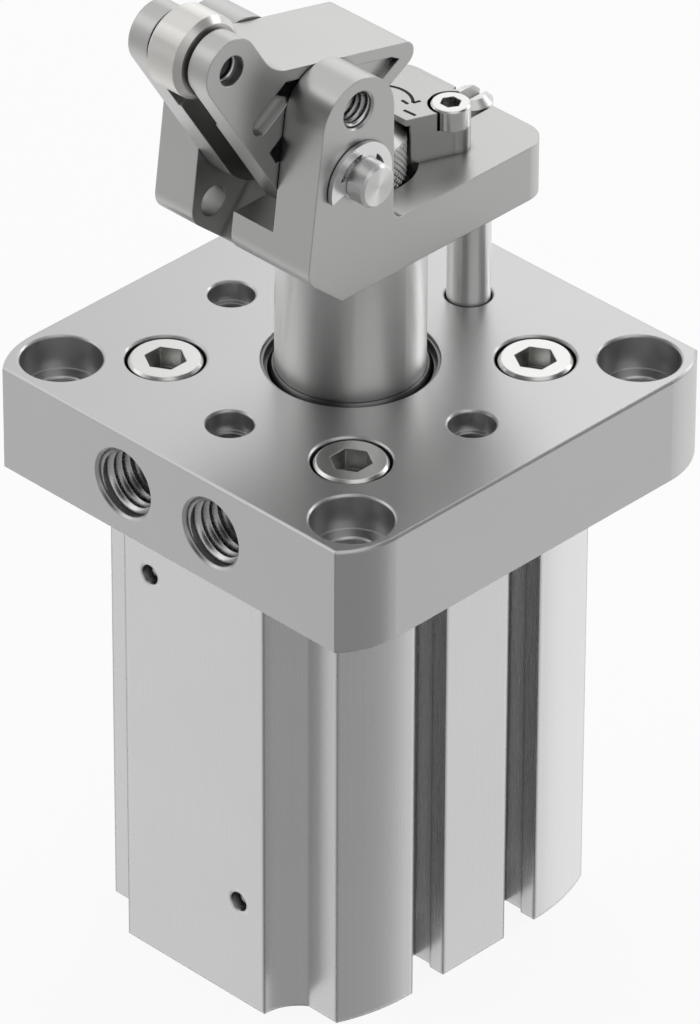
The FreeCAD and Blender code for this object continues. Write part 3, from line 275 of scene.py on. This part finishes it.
def lined_at_corners(tree, colour, shade, rounded):
    """The colour, with a painted shade line along upright corners, where the rounded normal turns.
    """
    flat = add(tree, "ShaderNodeNewGeometry").outputs["True Normal"]
    # Painted shade: it stands in for the dark reflection that a rounded corner shows.
    together = add(tree, "ShaderNodeVectorMath", {0: rounded, 1: flat}, operation="DOT_PRODUCT")
    # The line fades in from 16 degrees of turn and is full at 39.
    plain = add(tree, "ShaderNodeMapRange", {"Value": together.outputs["Value"]},
                From_Min=0.78, From_Max=0.96)
    rise = add(tree, "ShaderNodeSeparateXYZ", {"Vector": rounded}).outputs["Z"]
    slant = add(tree, "ShaderNodeMath", {0: rise}, operation="ABSOLUTE")
    level = add(tree, "ShaderNodeMapRange", {"Value": slant.outputs[0]},
                From_Min=0.1, From_Max=0.3)
    clear = add(tree, "ShaderNodeMath", {0: plain.outputs["Result"], 1: level.outputs["Result"]},
                operation="MAXIMUM")
    lined = add(tree, "ShaderNodeMix", {"Factor": clear.outputs[0], "B": colour},
                data_type="RGBA", A=linear(shade))
    return lined.outputs["Result"]


def grained_metal(name, dark, light, rough, grain_mm, stretch=(1, 1, 1), depth_mm=0.004,
                  edge_mm=0.12, rough_swing=0.05, turned=None, recess_mm=0.0, recess_shade="#202020",
                  closed_at=(0.1, 0.75), alone=False, corner=None):
    """A metal with a grain of a real spacing, which may be turned, with painted shade in recesses
    or a painted shade line at upright corners.
    """
    material, tree = new_material(name)
    place = add(tree, "ShaderNodeTexCoord").outputs["Object"]
    scale = [1 / (grain_mm * MM * s) for s in stretch]
    spread = add(tree, "ShaderNodeMapping", {"Vector": place}, Scale=scale)
    grain = add(tree, "ShaderNodeTexNoise", {"Vector": spread.outputs["Vector"]},
                Scale=1.0, Detail=4.0, Roughness=0.55).outputs["Fac"]
    # A cloud of about 17 mm for the broad unevenness that handling and the bath leave
    cloud = add(tree, "ShaderNodeTexNoise", {"Vector": place}, Scale=60.0, Detail=2.0)
    blend = add(tree, "ShaderNodeMix", {"Factor": grain}, data_type="FLOAT", A=0.0, B=0.7)
    both = add(tree, "ShaderNodeMath", {0: blend.outputs[0], 1: cloud.outputs["Fac"]},
               operation="MULTIPLY_ADD")
    both.inputs[2].default_value = 0.1
    tone = add(tree, "ShaderNodeMix", {"Factor": both.outputs[0]}, data_type="RGBA",
               A=linear(dark), B=linear(light))
    colour = tone.outputs["Result"]
    # Painted shade where the surface is closed in
    if recess_mm:
        colour = darker_in_recesses(tree, colour, recess_shade, recess_mm, closed_at, alone)
    swing = add(tree, "ShaderNodeMapRange", {"Value": grain},
                To_Min=rough - rough_swing, To_Max=rough + rough_swing)
    rounded = add(tree, "ShaderNodeBevel", samples=4, Radius=edge_mm * MM).outputs["Normal"]
    # A painted shade line along upright corners
    if corner:
        colour = lined_at_corners(tree, colour, corner, rounded)
    bump = add(tree, "ShaderNodeBump", {"Height": grain, "Normal": rounded},
               Strength=0.6, Distance=depth_mm * MM)
    shader = add(tree, "ShaderNodeBsdfPrincipled",
                 {"Base Color": colour, "Roughness": swing.outputs["Result"],
                  "Normal": bump.outputs["Normal"]}, Metallic=1.0)
    if turned:
        # A quarter turn draws the light out across the marks, which run round the axis.
        shader.inputs["Anisotropic"].default_value = 0.9
        shader.inputs["Anisotropic Rotation"].default_value = 0.25
        round_it = add(tree, "ShaderNodeTangent", direction_type="RADIAL", axis=turned)
        tree.links.new(round_it.outputs["Tangent"], shader.inputs["Tangent"])
    return close(material, shader.outputs["BSDF"])


def soft_material(name, dark, light, rough, grain_mm, sheen=0.0):
    """A moulded rubber or plastic with a fine even grain."""
    material, tree = new_material(name)
    place = add(tree, "ShaderNodeTexCoord").outputs["Object"]
    grain = add(tree, "ShaderNodeTexNoise", {"Vector": place}, Scale=1 / (grain_mm * MM),
                Detail=3.0).outputs["Fac"]
    tone = add(tree, "ShaderNodeMix", {"Factor": grain}, data_type="RGBA",
               A=linear(dark), B=linear(light))
    bump = add(tree, "ShaderNodeBump", {"Height": grain}, Strength=0.4, Distance=0.01 * MM)
    shader = add(tree, "ShaderNodeBsdfPrincipled",
                 {"Base Color": tone.outputs["Result"], "Normal": bump.outputs["Normal"]},
                 Roughness=rough, IOR=1.5)
    shader.inputs["Sheen Weight"].default_value = sheen
    return close(material, shader.outputs["BSDF"])


def extruded_anodised_aluminium():
    # Drawn through a die and clear anodised: an even pale satin with faint lines along its length,
    # a painted shade line at each upright corner, and painted shade down in the slots.
    return grained_metal("extruded_anodised_aluminium", "#E0E0E0", "#EFEFEF", 0.27, 0.5,
                         stretch=(1, 1, 600), depth_mm=0.0012, edge_mm=0.75, rough_swing=0.03,
                         recess_mm=7.0, recess_shade="#6A6A6A", alone=True, corner="#6E6E6E")


def bead_blasted_aluminium():
    # Milled, blasted and anodised: a fine sandy grain that breaks the reflections up.
    # Painted shade: a dark line along each upright corner.
    return grained_metal("bead_blasted_aluminium", "#C5C5C5", "#D2D2D2", 0.33, 0.22,
                         depth_mm=0.003, edge_mm=0.3, corner="#808080")


def ground_chromed_steel():
    # Centreless ground and hard chromed: bright, with fine marks round the bar that draw the light
    # out along its length.
    # Painted shade darkens it where it is closed in, next to the wiper.
    return grained_metal("ground_chromed_steel", "#E0E0DF", "#EAEAE9", 0.36, 0.3,
                         stretch=(60, 60, 1), depth_mm=0.0004, edge_mm=0.1, rough_swing=0.03,
                         turned="Z", recess_mm=1.0, recess_shade="#606060")


def turned_pin_steel():
    # Faced on a lathe: rings too fine to see, which gather the light into a bow across the end.
    return grained_metal("turned_pin_steel", "#E8E8E7", "#F4F4F3", 0.36, 0.3, depth_mm=0.0004,
                         edge_mm=0.15, rough_swing=0.03, turned="X")


def hardened_pin_steel():
    # Hardened steel, drawn a dull dark grey: painted shade for the end that sits deep in its hole.
    return grained_metal("hardened_pin_steel", "#5C5C5C", "#747474", 0.4, 0.3, depth_mm=0.001)


def shot_blasted_steel():
    # Investment cast, shot blasted and plated: satin grey with a grain and soft edges.
    # Painted shade darkens it where it is closed in: in pockets and where it meets the clip and the
    # cover.
    return grained_metal("shot_blasted_steel", "#BDBDBC", "#CBCBCA", 0.32, 0.25, depth_mm=0.003,
                         edge_mm=0.22, recess_mm=1.8, recess_shade="#4A4A4A")


def zinc_plated_steel():
    # Cold formed and zinc plated: bright, cool, with rounded rims, and painted shade in the socket.
    return grained_metal("zinc_plated_steel", "#DCDCDA", "#EAEAE8", 0.24, 0.4, depth_mm=0.0005,
                         edge_mm=0.2, rough_swing=0.03, recess_mm=2.5, recess_shade="#505050")


def polished_ball_steel():
    # A bearing ball pressed into its hole: a small soft glint.
    return grained_metal("polished_ball_steel", "#F0F0F0", "#FAFAFA", 0.5, 0.4, depth_mm=0.0002,
                         rough_swing=0.02)


def knurled_steel():
    # Turned, knurled and plated: small bright diamonds, with painted shade darkening the grooves
    # between them.
    return grained_metal("knurled_steel", "#E2E2E0", "#F0F0EE", 0.3, 0.2, depth_mm=0.0005,
                         edge_mm=0.03, recess_mm=0.35, recess_shade="#101010", closed_at=(0.45, 0.9))


def polished_roller_steel():
    # Hardened, turned and polished: fine marks round it draw its bright band out, a trace warm.
    return grained_metal("polished_roller_steel", "#E3E1DD", "#EFEDE9", 0.32, 0.25,
                         stretch=(1, 40, 40), depth_mm=0.0006, edge_mm=0.1, rough_swing=0.04,
                         turned="X")


def spring_strip_steel():
    # Punched from hardened strip: smooth flat faces with a bright soft sheen.
    # Painted shade darkens it where it is closed in, round the pin.
    return grained_metal("spring_strip_steel", "#ECECEC", "#F7F7F7", 0.24, 0.4, depth_mm=0.0003,
                         edge_mm=0.08, rough_swing=0.03, recess_mm=1.0, recess_shade="#505050")


def tapped_aluminium():
    # Cut with a tap: bright crests, and painted shade that turns the valleys black.
    return grained_metal("tapped_aluminium", "#E2E2E1", "#EEEEED", 0.28, 0.2, depth_mm=0.0005,
                         edge_mm=0.05, recess_mm=1.2, recess_shade="#050505", closed_at=(0.55, 0.85))


def sintered_bronze():
    # Pressed and sintered: dull brown gold with fine pores.
    return grained_metal("sintered_bronze", "#8C6A42", "#B08A58", 0.42, 0.15, depth_mm=0.006)


def pressed_steel():
    # Drawn from thin sheet: a plain grey ring with a soft bright lip.
    # Painted shade turns it near black where it is closed in.
    return grained_metal("pressed_steel", "#8A8A89", "#A0A09E", 0.3, 0.3, depth_mm=0.001,
                         recess_mm=1.6, recess_shade="#0A0A0A", closed_at=(0.3, 0.85))


def moulded_nitrile_rubber():
    # Compression moulded: black, matt, with a faint bloom.
    return soft_material("moulded_nitrile_rubber", "#101010", "#1E1E1E", 0.62, 0.4, sheen=0.1)


def cast_polyurethane():
    # Cast elastomer: dark and slightly waxy.
    return soft_material("cast_polyurethane", "#1A1A1C", "#2A2A2C", 0.5, 0.6)


def machined_fluoroplastic():
    # Skived bearing strip: milky and waxy.
    return soft_material("machined_fluoroplastic", "#CFCAB8", "#DEDACB", 0.45, 0.5)


def bonded_magnet():
    # Magnet powder bonded in plastic: dark grey, fine and matt.
    return soft_material("bonded_magnet", "#26262A", "#3A3A3E", 0.55, 0.2)


def paint_filled_engraving():
    # Engraved and filled with black: a matt dark line.
    return soft_material("paint_filled_engraving", "#0C0C0C", "#1A1A1A", 0.7, 0.2)


# The finish of each material slot of the record
FINISHES = {
    "anodised_aluminium": extruded_anodised_aluminium,
    "machined_aluminium": bead_blasted_aluminium,
    "ground_steel": ground_chromed_steel,
    "cast_steel": shot_blasted_steel,
    "screw_steel": zinc_plated_steel,
    "knurled_steel": knurled_steel,
    "roller_steel": polished_roller_steel,
    "spring_steel": spring_strip_steel,
    "bronze": sintered_bronze,
    "seal_rubber": moulded_nitrile_rubber,
    "buffer_rubber": cast_polyurethane,
    "band_plastic": machined_fluoroplastic,
    "magnet": bonded_magnet,
    "wiper_case": pressed_steel,
}

# Nodes whose surface differs from that of the others in their slot
NODE_FINISHES = {
    "pivot_pin": turned_pin_steel,
    "roller_pin": hardened_pin_steel,
    "channel_plugs": polished_ball_steel,
}


def made_once(maker):
    """A finish's material, which is made the first time that it is asked for."""
    return bpy.data.materials.get(maker.__name__) or maker()


# Meshes


def new_piece(name, vertices, faces, body, slot, maker=None, smooth=False):
    """Make a mesh piece, finish it and let it ride on a body."""
    mesh = bpy.data.meshes.new(name)
    mesh.from_pydata(vertices, [], faces)
    work = bmesh.new()
    work.from_mesh(mesh)
    bmesh.ops.recalc_face_normals(work, faces=work.faces)
    work.to_mesh(mesh)
    work.free()
    mesh.polygons.foreach_set("use_smooth", [smooth] * len(mesh.polygons))
    mesh.update()
    piece = bpy.data.objects.new(name, mesh)
    bpy.context.scene.collection.objects.link(piece)
    mesh.materials.append(made_once(maker or FINISHES[slot]))
    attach(piece, body)
    return piece


def thread_mesh(mouth, axis, wall, depth, pitch, reach, steps):
    """Vertices and faces of a right-handed ridge inside a hole, from its mouth inwards."""
    axis = axis.normalized()
    side = axis.orthogonal().normalized()
    up = axis.cross(side)
    root = wall + THREAD_ROOT
    profile = [(wall - max(THREAD_FLOOR, depth * share), shift)
               for share, shift in THREAD_PROFILE]
    rise = steps * THREAD_RISE
    total = int((reach - THREAD_START - pitch * 0.5) / pitch * steps)
    vertices, faces = [], []
    for i in range(total + 1):
        angle = -2 * math.pi * i / steps
        out = side * math.cos(angle) + up * math.sin(angle)
        fade = min(1.0, i / rise, (total - i) / rise)
        for k, (radius, shift) in enumerate(profile):
            # The first turn is cut off square below the hole's chamfer.
            inwards = max(THREAD_START + k * THREAD_APART,
                          THREAD_START + pitch * (i / steps + shift * fade))
            vertices.append(mouth + out * (root - (root - radius) * fade) - axis * inwards)
    width = len(profile)
    for i in range(total):
        for k in range(width - 1):
            a = i * width + k
            faces.append((a, a + 1, a + width + 1, a + width))
    return vertices, faces


def tap_hole(name, body, slot, depth, pitch, steps):
    """Cut a thread in the hole that a mount of the record states."""
    middle, axis, sizes = mount(name)
    mouth = middle + axis * (sizes["length_mm"] / 2)
    vertices, faces = thread_mesh(mouth, axis, sizes["r_mm"], depth, pitch, sizes["length_mm"],
                                  steps)
    new_piece(f"{name}_thread", vertices, faces, body, slot, maker=tapped_aluminium, smooth=True)


# Operators


class STOPPER_OT_finishes(bpy.types.Operator):
    """Give every node of the frame its finish"""
    bl_idname = "stopper.finishes"
    bl_label = "Finishes"

    def execute(self, context):
        slots = {entry["node"]: entry["material_slot"] for entry in frame["record"]["subparts"]}
        for node, piece in frame["nodes"].items():
            maker = NODE_FINISHES.get(node) or FINISHES[slots[node]]
            piece.data.materials.clear()
            piece.data.materials.append(made_once(maker))
        return {"FINISHED"}


class STOPPER_OT_port_threads(bpy.types.Operator):
    """Cut the threads of the two air ports"""
    bl_idname = "stopper.port_threads"
    bl_label = "Port threads"

    def execute(self, context):
        settings = context.scene.stopper_threads
        for name in ("port_left", "port_right"):
            tap_hole(name, "housing", "machined_aluminium", settings.port_depth,
                     settings.port_pitch, settings.steps)
        return {"FINISHED"}


class STOPPER_OT_screw_threads(bpy.types.Operator):
    """Cut the threads of the plate's and the ears' screw holes"""
    bl_idname = "stopper.screw_threads"
    bl_label = "Screw threads"

    def execute(self, context):
        settings = context.scene.stopper_threads
        holes = (("guide_seat_left", "housing", "machined_aluminium"),
                 ("guide_seat_right", "housing", "machined_aluminium"),
                 ("guide_seat_front", "housing", "machined_aluminium"),
                 ("ear_thread_left", "rod", "cast_steel"),
                 ("ear_thread_right", "rod", "cast_steel"))
        for name, body, slot in holes:
            tap_hole(name, body, slot, settings.screw_depth, settings.screw_pitch,
                     settings.steps)
        return {"FINISHED"}


class STOPPER_OT_snap_rings(bpy.types.Operator):
    """Spring the two wire rings into the lever's bore outside the roller's pin"""
    bl_idname = "stopper.snap_rings"
    bl_label = "Snap rings"

    def execute(self, context):
        settings = context.scene.stopper_rings
        wire, gap = settings.wire, settings.gap
        low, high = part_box("roller_pin")
        centre = (low + high) / 2
        reach = (high.z - low.z) / 2 - wire * RING_INSIDE
        vertices, faces = [], []
        for place in (low.x - wire, high.x + wire):
            first = len(vertices)
            for i in range(RING_STEPS + 1):
                # The gap is at the lever's lower front, where the two ends show.
                turn = RING_GAP_SIDE + gap / 2 + (2 * math.pi - gap) * i / RING_STEPS
                for k in range(WIRE_SIDES):
                    around = 2 * math.pi * k / WIRE_SIDES
                    out = reach + wire * math.cos(around)
                    vertices.append((place + wire * math.sin(around),
                                     centre.y + out * math.cos(turn),
                                     centre.z + out * math.sin(turn)))
            for i in range(RING_STEPS):
                a = first + i * WIRE_SIDES
                for k in range(WIRE_SIDES):
                    b = (k + 1) % WIRE_SIDES
                    faces.append((a + k, a + b, a + WIRE_SIDES + b, a + WIRE_SIDES + k))
            for a in (first, first + RING_STEPS * WIRE_SIDES):
                faces.append(tuple(range(a, a + WIRE_SIDES)))
        new_piece("roller_pin_rings", vertices, faces, "lever", "spring_steel", smooth=True)
        return {"FINISHED"}


class STOPPER_OT_knurl(bpy.types.Operator):
    """Wrap the adjusting ring in a diamond knurl"""
    bl_idname = "stopper.knurl"
    bl_label = "Knurl"

    def execute(self, context):
        settings = context.scene.stopper_knurl
        radius = (RING_HIGH.x - RING_LOW.x) / 2
        low = RING_LOW.z + settings.foot_edge
        high = RING_HIGH.z - settings.top_edge
        around = settings.count * KNURL_POINTS
        cell = 2 * math.pi * radius / settings.count
        rows = max(KNURL_POINTS, int((high - low) / cell * KNURL_POINTS))
        vertices, faces = [], []
        for j in range(rows + 1):
            height = low + (high - low) * j / rows
            along = (height - low) / cell
            edge = min(1.0, j, rows - j)
            for i in range(around):
                angle = 2 * math.pi * i / around
                across = angle * radius / cell
                one = abs((across + along) % 1 - 0.5) * 2
                two = abs((across - along) % 1 - 0.5) * 2
                # Flat diamonds with a narrow groove between them
                sunk = (1 - min(1.0, min(1 - one, 1 - two) * GROOVE_SLOPE)) * settings.depth
                out = radius + KNURL_CLEAR + (settings.depth * KNURL_PROUD - sunk) * edge
                vertices.append((out * math.cos(angle), out * math.sin(angle), height))
        for j in range(rows):
            a, b = j * around, (j + 1) * around
            for i in range(around):
                k = (i + 1) % around
                faces.append((a + i, a + k, b + k, b + i))
        new_piece("adjusting_ring_knurl", vertices, faces, "ring", "knurled_steel",
                  smooth=False)
        return {"FINISHED"}


class STOPPER_OT_marks(bpy.types.Operator):
    """Engrave the direction arrow and the minus sign on the cover"""
    bl_idname = "stopper.marks"
    bl_label = "Engraved marks"

    def execute(self, context):
        settings = context.scene.stopper_marks
        top = COVER_TOP + settings.lift
        half = settings.width / 2
        arc = []
        for i in range(ARC_STEPS + 1):
            turn = ARC_START + (ARC_END - ARC_START) * i / ARC_STEPS
            out = Vector((math.cos(turn), math.sin(turn))) * settings.arc_radius
            arc.append(Vector(ARC_MIDDLE) * MM + out)
        tip = arc[-1]
        lines = [arc]
        lines += [[tip + Vector(end) * MM for end in barb] for barb in BARBS]
        lines += [[Vector(end) * MM for end in MINUS]]
        vertices, faces = [], []
        for line in lines:
            first = len(vertices)
            for i, point in enumerate(line):
                before, after = line[max(i - 1, 0)], line[min(i + 1, len(line) - 1)]
                along = (after - before).normalized()
                aside = Vector((-along.y, along.x)) * half
                for spot in (point + aside, point - aside):
                    vertices.append((spot.x, spot.y, top))
            for i in range(len(line) - 1):
                a = first + i * 2
                faces.append((a, a + 1, a + 3, a + 2))
        new_piece("cover_marks", vertices, faces, "rod", "seal_rubber",
                  maker=paint_filled_engraving)
        return {"FINISHED"}


class STOPPER_OT_stage(bpy.types.Operator):
    """Set the floor, the lamps, the world and the camera"""
    bl_idname = "stopper.stage"
    bl_label = "Stage"

    def execute(self, context):
        settings = context.scene.stopper_stage
        scene = context.scene
        scene.view_settings.view_transform = "Standard"
        self.floor(scene, settings)
        self.world(scene)
        for lamp in LAMPS:
            self.lamp(scene, *lamp)
        self.camera(scene, settings)
        return {"FINISHED"}

    def floor(self, scene, settings):
        material, tree = new_material("pale_studio_floor")
        light = add(tree, "ShaderNodeLightPath")
        share = add(tree, "ShaderNodeMath", {0: light.outputs["Is Camera Ray"]},
                    operation="MULTIPLY")
        share.inputs[1].default_value = FLOOR_GLOW
        matt = add(tree, "ShaderNodeBsdfDiffuse", Color=(*settings.floor_colour, 1.0))
        glow = add(tree, "ShaderNodeEmission", Color=(1.0, 1.0, 1.0, 1.0), Strength=1.0)
        shown = add(tree, "ShaderNodeMixShader",
                    {0: share.outputs[0], 1: matt.outputs[0], 2: glow.outputs[0]})
        # Metal and clear pieces look through the floor at the studio's own soft light.
        passing = add(tree, "ShaderNodeMath", {0: light.outputs["Is Glossy Ray"],
                                               1: light.outputs["Is Transmission Ray"]},
                      operation="MAXIMUM")
        clear = add(tree, "ShaderNodeBsdfTransparent")
        mixed = add(tree, "ShaderNodeMixShader",
                    {0: passing.outputs[0], 1: shown.outputs[0], 2: clear.outputs[0]})
        close(material, mixed.outputs[0])
        work = bmesh.new()
        bmesh.ops.create_circle(work, cap_ends=True, radius=settings.floor_radius,
                                segments=FLOOR_SIDES)
        mesh = bpy.data.meshes.new("floor")
        work.to_mesh(mesh)
        work.free()
        floor = bpy.data.objects.new("floor", mesh)
        floor.location.z = CAD_BOX[0].z - FLOOR_GAP
        mesh.materials.append(material)
        scene.collection.objects.link(floor)

    def world(self, scene):
        """Soft light all round, darker low down in front of the ports' and the clip's corner."""
        world = bpy.data.worlds.new("soft_studio")
        scene.world = world
        world.use_nodes = True
        tree = world.node_tree
        tree.nodes.clear()
        place = add(tree, "ShaderNodeTexCoord").outputs["Generated"]
        height = add(tree, "ShaderNodeSeparateXYZ", {"Vector": place}).outputs["Z"]
        level = add(tree, "ShaderNodeVectorMath", {0: place}, operation="MULTIPLY")
        level.inputs[1].default_value = (1.0, 1.0, 0.0)
        level = add(tree, "ShaderNodeVectorMath", {0: level.outputs[0]}, operation="NORMALIZE")
        facing = add(tree, "ShaderNodeVectorMath", {0: level.outputs[0]},
                     operation="DOT_PRODUCT")
        facing.inputs[1].default_value = SCREEN_SIDE
        around = add(tree, "ShaderNodeMapRange", {"Value": facing.outputs["Value"]},
                     From_Min=-1.0, From_Max=1.0).outputs["Result"]
        low = add(tree, "ShaderNodeValToRGB", {"Fac": around})
        low.color_ramp.interpolation = "B_SPLINE"
        while len(low.color_ramp.elements) < len(LOW_LIGHT):
            low.color_ramp.elements.new(1.0)
        for element, (spot, value) in zip(low.color_ramp.elements, LOW_LIGHT):
            element.position = spot
            element.color = (value, value, value, 1.0)
        high = add(tree, "ShaderNodeMapRange", {"Value": around},
                   To_Min=HIGH_LIGHT[0], To_Max=HIGH_LIGHT[1]).outputs["Result"]
        for turn, rise, fade, full, taken in FLAGS:
            turn, rise = math.radians(turn), math.radians(rise)
            near = add(tree, "ShaderNodeVectorMath", {0: place}, operation="DOT_PRODUCT")
            near.inputs[1].default_value = (math.cos(turn) * math.cos(rise),
                                            math.sin(turn) * math.cos(rise), math.sin(rise))
            left = add(tree, "ShaderNodeMapRange", {"Value": near.outputs["Value"]},
                       interpolation_type="SMOOTHSTEP", From_Min=fade, From_Max=full,
                       To_Min=1.0, To_Max=1.0 - taken)
            high = add(tree, "ShaderNodeMath", {0: high, 1: left.outputs["Result"]},
                       operation="MULTIPLY").outputs[0]
        above = add(tree, "ShaderNodeMapRange", {"Value": height},
                    interpolation_type="SMOOTHSTEP", From_Min=OVERHEAD[0],
                    From_Max=OVERHEAD[1], To_Min=1.0, To_Max=OVERHEAD[2])
        high = add(tree, "ShaderNodeMath", {0: high, 1: above.outputs["Result"]},
                   operation="MULTIPLY").outputs[0]
        rising = add(tree, "ShaderNodeMapRange", {"Value": height},
                     interpolation_type="SMOOTHSTEP", From_Min=HORIZON[0],
                     From_Max=HORIZON[1])
        glow = add(tree, "ShaderNodeMix",
                   {"Factor": rising.outputs["Result"], "A": low.outputs["Color"], "B": high},
                   data_type="FLOAT")
        # The camera sees plain white behind the object.
        seen = add(tree, "ShaderNodeLightPath").outputs["Is Camera Ray"]
        strength = add(tree, "ShaderNodeMix", {"Factor": seen, "A": glow.outputs[0]},
                       data_type="FLOAT", B=1.0)
        air = add(tree, "ShaderNodeBackground", {"Strength": strength.outputs[0]},
                  Color=(1.0, 1.0, 1.0, 1.0))
        add(tree, "ShaderNodeOutputWorld", {"Surface": air.outputs[0]})

    def lamp(self, scene, name, place, width, height, power):
        data = bpy.data.lights.new(name, "AREA")
        data.shape = "ELLIPSE"
        data.size, data.size_y = width, height
        data.energy = power
        lamp = bpy.data.objects.new(name, data)
        lamp.location = place
        aim = LAMP_TARGET - lamp.location
        lamp.rotation_euler = aim.to_track_quat("-Z", "Y").to_euler()
        scene.collection.objects.link(lamp)

    def camera(self, scene, settings):
        data = bpy.data.cameras.new("camera")
        data.sensor_width = SENSOR_WIDTH
        data.lens = settings.lens
        data.clip_start, data.clip_end = CLIP_START, CLIP_END
        camera = bpy.data.objects.new("camera", data)
        turn, rise = settings.azimuth, settings.elevation
        back = Vector((math.sin(turn) * math.cos(rise), -math.cos(turn) * math.cos(rise),
                       math.sin(rise)))
        target = Vector((0.0, 0.0, settings.target_height))
        look = (-back).to_track_quat("-Z", "Y").to_matrix().to_4x4()
        place = Matrix.Translation(target + back * settings.distance)
        camera.matrix_world = place @ look @ Matrix.Rotation(settings.roll, 4, "Z")
        scene.collection.objects.link(camera)
        scene.camera = camera


class STOPPER_PT_panel(bpy.types.Panel):
    """Panel that lists the steps and their settings"""
    bl_idname = "STOPPER_PT_panel"
    bl_label = "Stopper Cylinder"
    bl_space_type = "VIEW_3D"
    bl_region_type = "UI"
    bl_category = "Stopper Cylinder"

    def draw(self, context):
        for group in GROUPS:
            settings = getattr(context.scene, group)
            for name in settings.__annotations__:
                self.layout.prop(settings, name)
        for operator in OPERATORS:
            self.layout.operator(operator.bl_idname)


GROUPS = {
    "stopper_threads": ThreadSettings,
    "stopper_rings": RingSettings,
    "stopper_knurl": KnurlSettings,
    "stopper_marks": MarkSettings,
    "stopper_stage": StageSettings,
}
OPERATORS = (STOPPER_OT_finishes, STOPPER_OT_port_threads, STOPPER_OT_screw_threads,
             STOPPER_OT_snap_rings, STOPPER_OT_knurl, STOPPER_OT_marks, STOPPER_OT_stage)


def register():
    for kind in (*GROUPS.values(), *OPERATORS, STOPPER_PT_panel):
        bpy.utils.register_class(kind)
    for name, kind in GROUPS.items():
        setattr(bpy.types.Scene, name, PointerProperty(type=kind))


def unregister():
    for name in GROUPS:
        delattr(bpy.types.Scene, name)
    for kind in reversed((*GROUPS.values(), *OPERATORS, STOPPER_PT_panel)):
        bpy.utils.unregister_class(kind)


def main():
    """Run every step in order."""
    register()
    for operator in OPERATORS:
        group, name = operator.bl_idname.split(".")
        getattr(getattr(bpy.ops, group), name)()


if __name__ == "__main__":
    main()
